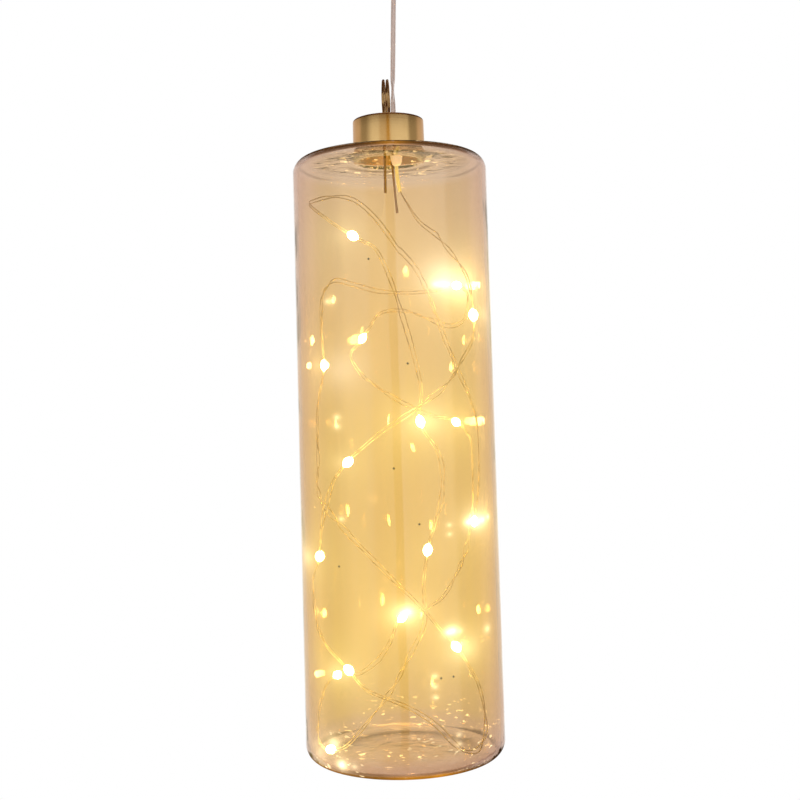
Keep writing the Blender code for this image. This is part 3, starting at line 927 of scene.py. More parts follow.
@dataclass
class Studio:
    """The camera at the photograph's place, soft light from all round and a pale floor."""

    camera_place: Triple = (1.667 * MM, -497.4 * MM, -137.8 * MM)
    pitch: float = 0.66
    roll: float = -1.6366
    lens: float = 54.06
    sensor: float = 36.0
    floor_level: float = -0.75
    floor_reach: float = 3.0
    floor_grey: float = 0.85
    floor_roughness: float = 0.8
    floor_gloss: float = 0.2
    side: Colour = (0.74, 0.62, 0.58)
    gap: Colour = (0.42, 0.38, 0.33)
    shade: Colour = (0.80, 0.72, 0.62)
    slit: Colour = (0.62, 0.36, 0.01)
    # Where each light stands round the horizon: behind (0), left, the front (0.5) and right. A gap's soft
    # edges are how far round it fades in and out.
    behind_span: Pair = (0.03, 0.07)
    left_gap: Pair = (0.235, 0.292)
    left_soft: Pair = (0.03, 0.06)
    shade_start: float = 0.43
    shade_soft: float = 0.015
    slit_span: Pair = (0.488, 0.512)
    slit_soft: float = 0.002
    right_gap: Pair = (0.70, 0.78)
    right_soft: Pair = (0.02, 0.03)
    # What glass and metal show from below (0) to above (1)
    upright_stops: Tones = (
        (0.0, (0.55, 0.42, 0.32)), (0.08, (0.55, 0.42, 0.32)), (0.2, grey(1.0)), (0.74, grey(1.0)),
        (0.80, (0.40, 0.26, 0.17)), (1.0, (0.50, 0.36, 0.26)))
    # What an outer face mirrors from below to above
    mirrored_stops: Tones = (
        (0.0, (0.44, 0.24, 0.05)), (0.2, (0.28, 0.13, 0.02)), (0.28, (0.10, 0.05, 0.03)),
        (0.33, (0.10, 0.05, 0.03)), (0.36, grey(1.0)), (0.63, grey(1.0)), (0.67, (0.10, 0.05, 0.02)),
        (0.8, (0.12, 0.06, 0.03)), (1.0, (0.30, 0.20, 0.14)))
    soft_level: float = 0.95

    def place_camera(self) -> None:
        """Sets the camera up as the photograph's."""
        data = bpy.data.cameras.new("camera")
        data.lens = self.lens
        data.sensor_width = self.sensor
        camera = linked("camera", data)
        turn = Matrix.Rotation(radians(90 + self.pitch), 4, "X") @ Matrix.Rotation(radians(self.roll), 4, "Z")
        camera.matrix_world = Matrix.Translation(self.camera_place) @ turn
        bpy.context.scene.camera = camera

    def round_stops(self) -> list[tuple[float, Colour]]:
        """Lays out the lights round the horizon.

        Returns:
            A colour ramp's stops, from behind by the left, the front and the right to behind again.
        """
        near, far = self.behind_span
        (left, left_end), (right, right_end) = self.left_gap, self.right_gap
        slit, slit_end = self.slit_span
        white = grey(1.0)
        return [(0.0, white), (near, white), (far, self.side),
                (left - self.left_soft[0], self.side), (left, self.gap), (left_end, self.gap),
                (left_end + self.left_soft[1], white), (self.shade_start - self.shade_soft, white),
                (self.shade_start, self.shade), (slit - self.slit_soft, self.shade), (slit, self.slit),
                (slit_end, self.slit), (slit_end + self.slit_soft, white),
                (right - self.right_soft[0], white), (right, self.gap), (right_end, self.gap),
                (right_end + self.right_soft[1], self.side), (1 - far, self.side), (1 - near, white)]

    def light_world(self) -> None:
        """Lights the scene from all round, and shows the camera a white background.

        Glass and metal show the studio: lights round the horizon with gaps between them. Matt pieces
        get soft light from everywhere.
        """
        world = bpy.data.worlds.new("studio")
        world.use_nodes = True
        bpy.context.scene.world = world
        sheet = NodeSheet(world.node_tree)
        direction = sheet.add("ShaderNodeTexCoord").outputs["Generated"]
        parts = sheet.add("ShaderNodeSeparateXYZ", {0: direction}).outputs
        turn = sheet.math("ARCTAN2", parts["X"], sheet.product(parts["Y"], -1.0))
        turn = sheet.math("MULTIPLY_ADD", turn, 1 / (2 * pi), 0.5)
        rise = sheet.math("MULTIPLY_ADD", parts["Z"], 0.5, 0.5)
        rays = sheet.add("ShaderNodeLightPath").outputs
        upright = sheet.mixed(rays["Is Reflection Ray"], sheet.ramp(rise, self.upright_stops),
                              sheet.ramp(rise, self.mirrored_stops))
        shown = sheet.mixed(1.0, sheet.ramp(turn, self.round_stops()), upright, "MULTIPLY")
        matt = sheet.math("GREATER_THAN", rays["Diffuse Depth"], 0.5)
        lights = sheet.add("ShaderNodeBackground", {"Color": sheet.mixed(matt, shown, grey(self.soft_level))})
        white = sheet.add("ShaderNodeBackground", {"Color": grey(1.0)})
        mix = sheet.mixed_shader(rays["Is Camera Ray"], lights, white)
        sheet.feed(sheet.tree.nodes["World Output"], {"Surface": mix.outputs[0]})

    def lay_floor(self) -> None:
        """Lays the pale floor. The camera sees it as white, and glass and metal show the studio instead."""
        shape = bmesh.new()
        bmesh.ops.create_circle(shape, cap_ends=True, segments=64, radius=self.floor_reach)
        bmesh.ops.translate(shape, vec=(0, 0, self.floor_level), verts=shape.verts)
        mesh = finished(shape, smooth=False)
        material = bpy.data.materials.new("floor_white")
        material.use_nodes = True
        mesh.materials.append(material)
        sheet = NodeSheet(material.node_tree)
        shader = sheet.tree.nodes["Principled BSDF"]
        sheet.feed(shader, {"Base Color": grey(self.floor_grey), "Roughness": self.floor_roughness,
                            "Specular IOR Level": self.floor_gloss})
        rays = sheet.add("ShaderNodeLightPath").outputs
        mirrored = sheet.product(sheet.math("MAXIMUM", rays["Is Glossy Ray"], rays["Is Transmission Ray"]),
                                 sheet.math("LESS_THAN", rays["Diffuse Depth"], 0.5))
        white = sheet.add("ShaderNodeEmission", {"Color": grey(1.0)})
        mix = sheet.mixed_shader(mirrored, shader, sheet.add("ShaderNodeBsdfTransparent"))
        mix = sheet.mixed_shader(rays["Is Camera Ray"], mix, white)
        sheet.feed(sheet.tree.nodes["Material Output"], {"Surface": mix.outputs[0]})
        linked("floor", mesh)

    def build(self) -> None:
        """Makes the camera, the light and the floor."""
        bpy.context.scene.view_settings.view_transform = "Standard"
        self.place_camera()
        self.light_world()
        self.lay_floor()
        log.info("studio")


@dataclass
class PowerCord(SubAssembly):
    """The thin clear twin-core cord, held taut by its grip at the ceiling."""

    body: ClassVar[Body] = Body.HANGER
    # In millimetres, the same points as the CAD cord's
    route: tuple[Triple, ...] = (
        (2.3, 0, -17.85), (2.3, 0, -12), (2.3, 0, -4), (2.6, 0, 5), (3.4, 0, 26), (4.1, 0, 44))
    core_radius: float = 0.52 * MM
    core_spread: float = 0.5 * MM
    # Half the part of a core's round that shows beside the other core, in degrees
    core_round: float = 125.0
    conductor_radius: float = 0.2 * MM
    step: float = 0.8 * MM
    grip_radius: float = 5.0 * MM
    grip_height: float = 14.0 * MM
    grip_edge: float = 0.6 * MM
    # The grip's taper down to the cord, as shares of its radius and height
    grip_taper: Stops = (
        (1.0, 0.5), (1.0, 0.46), (0.95, 0.44), (0.93, 0.4), (0.86, 0.3), (0.74, 0.16), (0.6, 0.06),
        (0.42, 0.015), (0.32, 0.0), (0.0, 0.0))
    gap: float = 0.3 * MM
    # The share of the way up, and how far the flat cord is turned there, in degrees from face-on
    twist: Stops = ((0.0, 0.0), (0.1, 5.0), (0.235, 82.0), (0.33, 25.0), (0.5, 0.0), (1.0, -12.0))

    def turn_at(self, share: float) -> float:
        """Works out how the flat cord is turned.

        Args:
            share: A share of its length.

        Returns:
            Its turn there, in radians.
        """
        for (low, low_turn), (high, high_turn) in zip(self.twist, self.twist[1:]):
            if share <= high:
                return radians(low_turn + (high_turn - low_turn) * eased((share - low) / (high - low)))
        return radians(self.twist[-1][1])

    def section(self) -> Object:
        """Draws the cord's outline: two round cores side by side with a narrow web.

        Returns:
            The outline, as a closed curve.
        """
        curve = bpy.data.curves.new("cord_section", "CURVE")
        points = []
        for middle, facing in ((self.core_spread, 0.0), (-self.core_spread, 180.0)):
            start, end = facing - self.core_round, facing + self.core_round
            points += arc((middle, 0.0), self.core_radius, start, end, 12)
        poly_spline(curve, [(x, y, 0.0) for x, y in points]).use_cyclic_u = True
        return linked("cord_section", curve)

    def cover_mesh(self, path: Sequence[Vector], turns: Sequence[float]) -> Mesh:
        """Makes the cord's cover.

        Args:
            path: The cord's middle line.
            turns: How the flat cord is turned at each of its points, in radians.

        Returns:
            The cover's mesh.
        """
        curve = wire_curve(path, radius=0.0, sides=3)
        section = self.section()
        curve.bevel_mode = "OBJECT"
        curve.bevel_object = section
        for spline_point, turn in zip(curve.splines[0].points, turns):
            spline_point.tilt = turn
        mesh = as_mesh(linked("cord_cover", curve))
        bpy.data.objects.remove(section, do_unlink=True)
        return mesh

    def grip_mesh(self, top: Vector) -> Mesh:
        """Makes the grip.

        Args:
            top: The cord's top end.

        Returns:
            The grip's mesh, just above it.
        """
        tall, wide, edge = self.grip_height, self.grip_radius, self.grip_edge
        profile = [(0.0, tall), *arc((wide - edge, tall - edge), edge, 90, 0, 6)]
        profile += [(wide * out, tall * up) for out, up in self.grip_taper]
        mesh = turned_mesh(profile, steps=64)
        mesh.transform(Matrix.Translation(top + Vector((0, 0, self.gap))))
        return mesh

    def build(self) -> None:
        """Makes the cord's cover, its two conductors and the grip."""
        path = spaced(smooth_route(in_metres(self.route), steps=12), self.step)
        turns = [self.turn_at(k / (len(path) - 1)) for k in range(len(path))]
        cord = self.add("cord_cover", self.cover_mesh(path, turns), CORD_VINYL, "power_cord")
        for strand in Strand:
            line = [point + Vector((cos(turn), sin(turn), 0.0)) * (strand.value * self.core_spread)
                    for point, turn in zip(path, turns)]
            self.add(f"conductor_{strand.letter}",
                                   wire_curve(line, self.conductor_radius, sides=2), CONDUCTOR)
        self.add("cord_grip", self.grip_mesh(path[-1]), GRIP_PLASTIC, "ceiling_grip")


@dataclass
class Hanger(SubAssembly):
    """The sprung wire eye and the grommet that it goes through."""

    body: ClassVar[Body] = Body.HANGER
    wire_radius: float = 0.55 * MM
    half_width: float = 5.5 * MM
    half_height: float = 6.9 * MM
    pitch: float = 1.65 * MM
    first_crown: float = -1.45 * MM
    turns: float = 1.5
    points_per_turn: int = 60
    sweep_points: int = 18
    sweep_start: float = 0.35
    # Each leg's points in millimetres: above and below the grommet, its knee and its tip
    front_leg: tuple[Triple, ...] = (
        (-1.7, -3.6, -14.3), (-1.7, -3.6, -18.2), (-1.6, -10.6, -26.5), (-1.9, -10.6, -48.0))
    back_leg: tuple[Triple, ...] = (
        (0.45, 3.6, -14.3), (0.45, 3.6, -18.2), (0.8, 10.6, -26.5), (3.0, 10.5, -52.8))
    cap_top: float = CAP_TOP
    sheet: float = CAP_SHEET
    gap: float = 0.3 * MM
    hub: float = 5.6 * MM
    flange: float = 7.0 * MM
    flange_thickness: float = 0.9 * MM
    flange_edge: float = 0.36 * MM
    cord_place: Pair = (2.3 * MM, 0.0)
    cord_hole: float = 1.2 * MM
    wire_clearance: float = 0.05 * MM
    hole_overshoot: float = 1.0 * MM

    def eye_point(self, turn: float) -> Vector:
        """Finds the wire's middle on the eye.

        Args:
            turn: How far past its first crown, in radians. The wire goes over the crown towards the back.

        Returns:
            The point.
        """
        middle = self.wire_radius - self.half_height
        return Vector((self.first_crown + self.pitch * turn / (2 * pi), self.half_width * sin(turn),
                       middle + self.half_height * cos(turn)))

    def sweep_in(self, start: Vector, end: Vector) -> list[Vector]:
        """Leads the wire from the eye's side down to the grommet: upright at both ends, and turning in late.

        Args:
            start: The wire's point on the eye's side.
            end: Its point above the grommet.

        Returns:
            The points between the two.
        """
        points = []
        for k in range(1, self.sweep_points):
            down = k / self.sweep_points
            late = max(0.0, (down - self.sweep_start) / (1 - self.sweep_start))
            point = start.lerp(end, eased(late))
            point.z = start.z + (end.z - start.z) * down
            points.append(point)
        return points

    def leg_route(self, leg: Sequence[Triple]) -> list[Vector]:
        """Leads a leg straight through the grommet, out to the neck's wall and down.

        Args:
            leg: Its points in millimetres.

        Returns:
            The points from above the grommet to its tip, in metres.
        """
        top, below, knee, tip = in_metres(leg)
        bent = [below, below.lerp(knee, 0.5), knee, knee.lerp(tip, 0.5), tip]
        return [top, *smooth_route(bent, steps=10)]

    def wire_route(self) -> list[Vector]:
        """Leads the wire from the front leg's tip through both turns of the eye to the back leg's tip.

        Returns:
            The wire's points.
        """
        first, last = -pi / 2, -pi / 2 + 2 * pi * self.turns
        steps = round(self.points_per_turn * self.turns)
        eye = [self.eye_point(first + (last - first) * k / steps) for k in range(steps + 1)]
        front, back = self.leg_route(self.front_leg), self.leg_route(self.back_leg)
        rise = self.sweep_in(eye[0], front[0])
        fall = self.sweep_in(eye[-1], back[0])
        return front[::-1] + rise[::-1] + eye + fall + back

    def bush_mesh(self) -> Mesh:
        """Makes the grommet: a hub between two soft-edged flanges, with holes for the legs and the cord.

        Returns:
            The grommet's mesh.
        """
        top, bottom = self.cap_top + self.gap, self.cap_top - self.sheet - self.gap
        high, low = top + self.flange_thickness, bottom - self.flange_thickness
        edge = self.flange_edge
        profile = [(0.0, high), *arc((self.flange - edge, high - edge), edge, 90, 0, 5), (self.flange, top)]
        profile += [(self.hub, top), (self.hub, bottom), (self.flange, bottom)]
        profile += [*arc((self.flange - edge, low + edge), edge, 0, -90, 5), (0.0, low)]
        bush = linked("cord_bush_soft", turned_mesh(profile, steps=96))
        holes = [(x * MM, y * MM, self.wire_radius + self.wire_clearance)
                 for x, y, _ in (self.front_leg[0], self.back_leg[0])]
        cutters = []
        for x, y, radius in (*holes, (*self.cord_place, self.cord_hole)):
            shape = bmesh.new()
            bmesh.ops.create_cone(shape, cap_ends=True, segments=32, radius1=radius, radius2=radius,
                                  depth=high - low + 2 * self.hole_overshoot)
            bmesh.ops.translate(shape, vec=(x, y, (high + low) / 2), verts=shape.verts)
            cutters.append(linked("bush_hole", finished(shape, smooth=False)))
            cut = bush.modifiers.new("hole", "BOOLEAN")
            cut.operation, cut.object, cut.solver = "DIFFERENCE", cutters[-1], "EXACT"
        mesh = as_mesh(bush)
        for cutter in cutters:
            bpy.data.objects.remove(cutter, do_unlink=True)
        return mesh

    def build(self) -> None:
        """Makes the wire and the grommet."""
        self.add("sprung_wire", wire_curve(self.wire_route(), self.wire_radius, sides=6), WIRE_BRASS,
                 "hanger_wire")
        self.add("cord_bush_soft", self.bush_mesh(), BUSH_RUBBER, "cord_bush")


@dataclass
class Anchor(SubAssembly):
    """The lump of set adhesive and the two sleeves that come out of it."""

    body: ClassVar[Body] = Body.HANGER
    axis: float = 3.1 * MM
    top: float = -18.15 * MM
    tip: float = -35.0 * MM
    radius: float = 3.1 * MM
    # The lump's outline, as shares of its depth and its radius
    droop: Stops = (
        (0.0, 0.0), (0.0, 0.74), (0.08, 0.84), (0.18, 0.92), (0.3, 0.98), (0.4, 1.0), (0.52, 0.95),
        (0.62, 0.9), (0.74, 0.83), (0.84, 0.76), (0.93, 0.67), (0.98, 0.5), (1.0, 0.25), (1.0, 0.0))
    skin_depth: float = 0.35 * MM
    skin_scale: float = 420.0
    sleeve_radius: float = 0.65 * MM
    sleeve_spread: float = 1.0
    # Millimetres out from the axis and up
    sleeve_route: Stops = ((3.0, -35.3), (3.3, -40.0), (4.2, -45.5))

    def sleeve_points(self, strand: Strand) -> list[Vector]:
        """A sleeve's middle line."""
        return in_metres([(x, strand.value * self.sleeve_spread, z) for x, z in self.sleeve_route])

    def lump_mesh(self) -> Mesh:
        """Makes the adhesive as it set: a drooping lump with an uneven skin.

        Returns:
            The lump's mesh.
        """
        depth = self.top - self.tip
        profile = [(self.radius * wide, self.top - depth * down) for down, wide in self.droop]
        mesh = turned_mesh(profile, steps=40)
        for vertex in mesh.vertices:
            push = noise.noise(vertex.co * self.skin_scale) * self.skin_depth
            vertex.co += outward(vertex.co) * push
        mesh.transform(Matrix.Translation((self.axis, 0.0, 0.0)))
        return mesh

    def build(self) -> None:
        """Makes the adhesive and the sleeves."""
        lump = self.add("adhesive_lump", self.lump_mesh(), ADHESIVE, "cord_anchor")
        smooth = lump.modifiers.new("smooth", "SUBSURF")
        smooth.levels = smooth.render_levels = 1
        for strand in Strand:
            line = smooth_route(self.sleeve_points(strand), steps=8)
            self.add(f"sleeve_{strand.letter}", wire_curve(line, self.sleeve_radius, sides=4), SLEEVE_PLASTIC,
                     f"splice_sleeve_{strand.letter}")


@dataclass
class Cap(SubAssembly):
    """The pressed brass cap over the neck."""

    body: ClassVar[Body] = Body.CAP
    top: float = CAP_TOP
    height: float = 15.7 * MM
    top_radius: float = 14.7 * MM
    edge_radius: float = 15.0 * MM
    skirt_radius: float = 14.85 * MM
    sheet: float = CAP_SHEET
    corner: float = 0.9 * MM
    bead: float = 0.45 * MM
    hole: float = 5.9 * MM

    def build(self) -> None:
        """Makes the cap: a flat top with a round hole, a skirt that flares a little, and a rolled edge."""
        edge = self.top - self.height
        corner_centre = (self.top_radius - self.corner, self.top - self.corner)
        bead_centre = (self.edge_radius - self.bead, edge + self.bead)
        skirt_foot = edge + 3 * self.bead
        half = self.sheet / 2
        hole_edge = (self.hole + half, self.top - half)
        profile = arc(hole_edge, half, 180, 90, 4)
        profile += arc(corner_centre, self.corner, 90, 0, 10)
        profile += [(self.skirt_radius, skirt_foot)]
        profile += arc(bead_centre, self.bead, 60, -180, 16)
        profile += [(self.skirt_radius - self.sheet, skirt_foot)]
        profile += arc(corner_centre, self.corner - self.sheet, 0, 90, 8)
        profile += arc(hole_edge, half, 270, 180, 4)[:-1]
        self.add("pressed_cap", turned_mesh(profile, steps=160, closed=True), CAP_BRASS, "cap_shell")


Stop = tuple[float, float, Layer, Pair | None]


@dataclass
class StringRoute:
    """The way that the string of lamps takes through the glass."""

    # Degrees round from the front towards the right, millimetres below the shoulder, the layer, and a
    # lamp's strength and its painted halo's reach where one sits there: the same stops as the CAD string's
    stops: tuple[Stop, ...]
    shoulder: float = SHOULDER
    lamp_reach: float = 35.2 * MM
    lamp_straight: float = 3.4 * MM
    near: float = 0.42 * MM
    far: float = 0.95 * MM
    step: float = 2.0 * MM
    twist: float = 4.0
    twist_rate: float = 0.11
    # Worked out from the stops: the middle line's points, each with its share of the way from lamp to lamp,
    # each lamp's middle and the string's direction there, and the lamps' light
    stations: list[tuple[Vector, float]] = field(init=False, default_factory=list)
    lamps: list[tuple[Vector, Vector]] = field(init=False, default_factory=list)
    glows: list[LampGlow] = field(init=False, default_factory=list)

    def __post_init__(self) -> None:
        """Lays the middle line out from stop to stop."""
        middles = []
        for angle, drop, layer, light in self.stops:
            reach = layer.value if light is None else min(layer.value, self.lamp_reach)
            turn = radians(angle)
            middles.append(Vector((reach * sin(turn), -reach * cos(turn), self.shoulder - drop * MM)))
        spans, span = [], [middles[0]]
        for i, (*_, light) in enumerate(self.stops[1:], start=1):
            if light is None:
                span.append(middles[i])
                continue
            onward = middles[i + 1] if i + 1 < len(middles) else middles[i] * 2 - middles[i - 1]
            direction = (onward - middles[i - 1]).normalized()
            self.lamps.append((middles[i], direction))
            self.glows.append(LampGlow(tuple(middles[i]), light[0], light[1] * MM))
            spans.append([*span, middles[i] - direction * self.lamp_straight])
            span = [middles[i] + direction * self.lamp_straight]
        for number, span in enumerate(spans):
            points = spaced(smooth_route(span, steps=8), self.step)
            from_middle = 1 if number == 0 else 0
            self.stations += [(point, (k / (len(points) - 1) + from_middle) / (1 + from_middle))
                              for k, point in enumerate(points)]
        middle, direction = self.lamps[-1]
        self.stations.append((middle + direction * self.lamp_straight, 0.0))

    def strand_points(self, strand: Strand) -> list[Vector]:
        """Lays one strand of the pair beside the middle line, nearest to it at the lamps.

        Args:
            strand: Which of the two.

        Returns:
            The strand's points.
        """
        middle = [point for point, _ in self.stations]
        points = []
        for i, (point, share) in enumerate(self.stations):
            along = (middle[min(i + 1, len(middle) - 1)] - middle[max(i - 1, 0)]).normalized()
            across = along.cross(outward(point)).normalized()
            spread = sin(pi * share) ** 2
            twist = self.twist * spread * noise.noise(Vector((i * self.twist_rate, 0.0, 0.0)))
            across = across * cos(twist) + outward(point) * sin(twist)
            offset = self.near + (self.far - self.near) * spread
            points.append(point + across * strand.value * offset)
        return points


def lamp(angle: float, drop: float, layer: Layer, strength: float, reach: float) -> Stop:
    """A stop with a lamp."""
    return (angle, drop, layer, (strength, reach))


def bends(layer: Layer, *places: Pair) -> list[Stop]:
    """Stops without lamps, all in one layer."""
    return [(angle, drop, layer, None) for angle, drop in places]


OUTER, MIDDLE, INNER = Layer.OUTER, Layer.MIDDLE, Layer.INNER
STRING_STOPS = (
    *bends(INNER, (34, 36)), *bends(MIDDLE, (43, 43)), *bends(OUTER, (53, 52)),
    lamp(65, 67, OUTER, 1.0, 4.0),
    *bends(OUTER, (57, 78), (45, 86), (33, 95), (12, 104), (-10, 113)),
    lamp(-33, 124, OUTER, 0.8, 4.0),
    *bends(OUTER, (-45, 133), (-56, 148)),
    lamp(-66, 162, OUTER, 1.4, 5.0),
    *bends(OUTER, (-78, 172), (-76, 184), (-59, 195)),
    lamp(-37, 205, OUTER, 1.5, 4.5),
    *bends(OUTER, (-22, 212), (2, 218), (18, 225), (33, 235), (47, 239), (59, 235), (60, 225), (52, 212)),
    lamp(36, 197, OUTER, 1.3, 6.5),
    *bends(MIDDLE, (26, 190), (12, 180), (-6, 169), (-19, 161), (-36, 152), (-54, 144), (-76, 135),
           (-98, 126)),
    *bends(OUTER, (-109, 114), (-112, 100)),
    lamp(-118, 84, OUTER, 1.0, 4.5),
    *bends(OUTER, (-119, 66), (-123, 53), (-134, 47), (-150, 48), (-170, 51), (-190, 52), (-211, 52)),
    lamp(-233, 51, OUTER, 2.4, 9.0),
    *bends(OUTER, (-244, 57), (-238, 66), (-222, 68), (-205, 64), (-187, 60), (-170, 61)),
    lamp(-156, 72, OUTER, 0.4, 4.0),
    *bends(OUTER, (-147, 79), (-154, 87), (-170, 95), (-188, 102), (-206, 107)),
    lamp(-228, 110, OUTER, 1.0, 5.0),
    *bends(OUTER, (-241, 118), (-243, 132), (-241, 147), (-232, 166), (-214, 184), (-198, 192)),
    lamp(-180, 196, OUTER, 1.6, 6.5),
    *bends(OUTER, (-171, 206), (-162, 214), (-147, 219)),
    lamp(-124, 217, OUTER, 0.9, 4.5),
    *bends(OUTER, (-107, 222), (-88, 231), (-73, 237)),
    lamp(-57, 238, OUTER, 1.7, 5.0),
    *bends(MIDDLE, (-42, 235)),
    *bends(INNER, (-28, 226), (-8, 212), (5, 199), (16, 187), (16, 173)),
    lamp(20, 159, INNER, 0.7, 4.0),
    *bends(INNER, (26, 149)), *bends(MIDDLE, (30, 137), (29, 123)),
    lamp(16, 109, MIDDLE, 1.4, 6.5),
    *bends(MIDDLE, (17, 97), (13, 84), (6, 68), (-1, 54), (-10, 42)),
    lamp(-26, 36, MIDDLE, 0.8, 4.5),
    *bends(MIDDLE, (-42, 30), (-56, 25), (-78, 19), (-105, 15), (-130, 11), (-150, 11), (-167, 18),
           (-183, 31), (-199, 43), (-210, 57), (-220, 72), (-232, 86), (-249, 99), (-264, 109), (-270, 124),
           (-264, 138)),
    lamp(-252, 152, MIDDLE, 1.4, 6.5),
)


@dataclass
class LampString(SubAssembly):
    """Both strands and their lamps, each a chip in a droplet of resin."""

    body: ClassVar[Body] = Body.GLASS
    route: StringRoute = field(default_factory=lambda: StringRoute(STRING_STOPS))
    strand_radius: float = 0.22 * MM
    # How the leads run: the direction out of the sleeve, how far the slack hangs, and their ends' gaps
    lead_way: Triple = (0.4, 0.0, -1.0)
    lead_bend: Triple = (0.5, 0.0, -1.0)
    lead_slack: float = 3.0 * MM
    lead_gap: float = 0.1 * MM
    lead_overlap: float = 0.11 * MM
    lead_step: float = 1.0 * MM
    droplet_length: float = 5.6 * MM
    droplet_radius: float = 1.85 * MM
    droplet_inset: float = 0.3 * MM
    droplet_taper: float = 0.35
    droplet_dents: float = 0.22
    dent_scale: float = 1.3
    chip_size: Triple = (1.6 * MM, 1.0 * MM, 0.5 * MM)
    chip_bevel: float = 0.08 * MM
    chip_height: float = 0.77 * MM

    def lamp_frame(self, middle: Vector, direction: Vector) -> Matrix:
        """Sets a lamp's own axes.

        Args:
            middle: The lamp's middle.
            direction: The way that the string runs there.

        Returns:
            The lamp's place, with X along the strands and Z away from the glass wall.
        """
        inward = -outward(middle)
        inward = (inward - direction * inward.dot(direction)).normalized()
        across = inward.cross(direction)
        return Matrix.Translation(middle) @ Matrix((direction, across, inward)).transposed().to_4x4()

    def droplet_mesh(self, place: Matrix) -> Mesh:
        """Makes a bead of resin, drawn out along the strands and a little dented.

        Args:
            place: The lamp's place.

        Returns:
            The bead's mesh.
        """
        shape = bmesh.new()
        bmesh.ops.create_uvsphere(shape, u_segments=28, v_segments=18, radius=1.0,
                                  matrix=Matrix.Rotation(pi / 2, 4, "Y"))
        shift = Vector(place.translation) / MM
        for vertex in shape.verts:
            dent = max(0.0, noise.noise(vertex.co * self.dent_scale + shift)) * self.droplet_dents
            draw = max(0.0, 1 - vertex.co.x ** 2) ** self.droplet_taper * (1 - dent)
            vertex.co.y *= draw
            vertex.co.z *= draw
        bmesh.ops.scale(shape, vec=(self.droplet_length / 2, self.droplet_radius, self.droplet_radius),
                        verts=shape.verts)
        bmesh.ops.translate(shape, vec=(0, 0, self.droplet_inset), verts=shape.verts)
        bmesh.ops.transform(shape, matrix=place, verts=shape.verts)
        return finished(shape)

    def chip_mesh(self, place: Matrix) -> Mesh:
        """Makes a small bevelled chip that lies on the strands.

        Args:
            place: The lamp's place.

        Returns:
            The chip's mesh.
        """
        shape = bmesh.new()
        bmesh.ops.create_cube(shape, size=1.0)
        bmesh.ops.scale(shape, vec=self.chip_size, verts=shape.verts)
        bmesh.ops.bevel(shape, geom=shape.edges[:], offset=self.chip_bevel, segments=2, profile=0.5,
                        affect="EDGES", material=-1)
        bmesh.ops.translate(shape, vec=(0, 0, self.chip_height), verts=shape.verts)
        bmesh.ops.transform(shape, matrix=place, verts=shape.verts)
        return finished(shape, smooth=False)

    def lead_mesh(self, sleeve_end: Vector, start: Vector, onward: Vector) -> Mesh:
        """Makes a lead, from its sleeve out to where the string meets the glass wall.

        Args:
            sleeve_end: The sleeve's lower end.
            start: The strand's first point.
            onward: The strand's second point.

        Returns:
            The lead's mesh.
        """
        arrive = start + (start - onward).normalized() * self.lead_overlap
        leave = sleeve_end + Vector(self.lead_way).normalized() * self.lead_gap
        middle = leave.lerp(arrive, 0.5) - Vector((0, 0, self.lead_slack))
        below = leave + Vector(self.lead_bend).normalized() * self.lead_slack
        line = spaced(smooth_route([leave, below, middle, arrive], steps=12), self.lead_step)
        return as_mesh(linked("lead_line", wire_curve(line, self.strand_radius, sides=2)))

    def add_lead(self, strand: Strand, sleeve_end: Vector, points: Sequence[Vector], enamel: Finish) -> None:
        """Adds a lead, baked in place between its sleeve and its strand.

        Args:
            strand: The strand that it belongs to.
            sleeve_end: Its sleeve's lower end.
            points: The strand's points.
            enamel: The wire's finish.
        """
        mesh = self.lead_mesh(sleeve_end, points[0], points[1])
        lead = linked(f"lead_{strand.letter}", mesh)
        mesh.materials.append(material_of(enamel))
        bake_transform(lead)
        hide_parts(f"lead_wire_{strand.letter}")
        log.info("%s between %s and %s", lead.name, Body.HANGER.value, Body.GLASS.value)

    def build(self, anchor: Anchor) -> None:
        """Makes the leads, the strands and the lamps.

        Args:
            anchor: The anchor, whose sleeves the leads come out of.
        """
        enamel = LitWire("strand_enamel", "enamelled_wire", tuple(glow.place for glow in self.route.glows))
        for strand in Strand:
            points = self.route.strand_points(strand)
            self.add(f"strand_{strand.letter}", wire_curve(points, self.strand_radius, sides=2), enamel,
                     f"string_wire_{strand.letter}")
            self.add_lead(strand, anchor.sleeve_points(strand)[-1], points, enamel)
        for number, (middle, direction) in enumerate(self.route.lamps, start=1):
            place = self.lamp_frame(middle, direction)
            self.add(f"resin_bead_{number:02d}", self.droplet_mesh(place), LAMP_RESIN,
                     f"led_droplet_{number:02d}")
            self.add(f"lamp_chip_{number:02d}", self.chip_mesh(place), LAMP_PHOSPHOR,
                     f"led_chip_{number:02d}")


# Degrees round from the front, millimetres below the shoulder, strength, and reach in millimetres
WallLight = tuple[float, float, float, float]


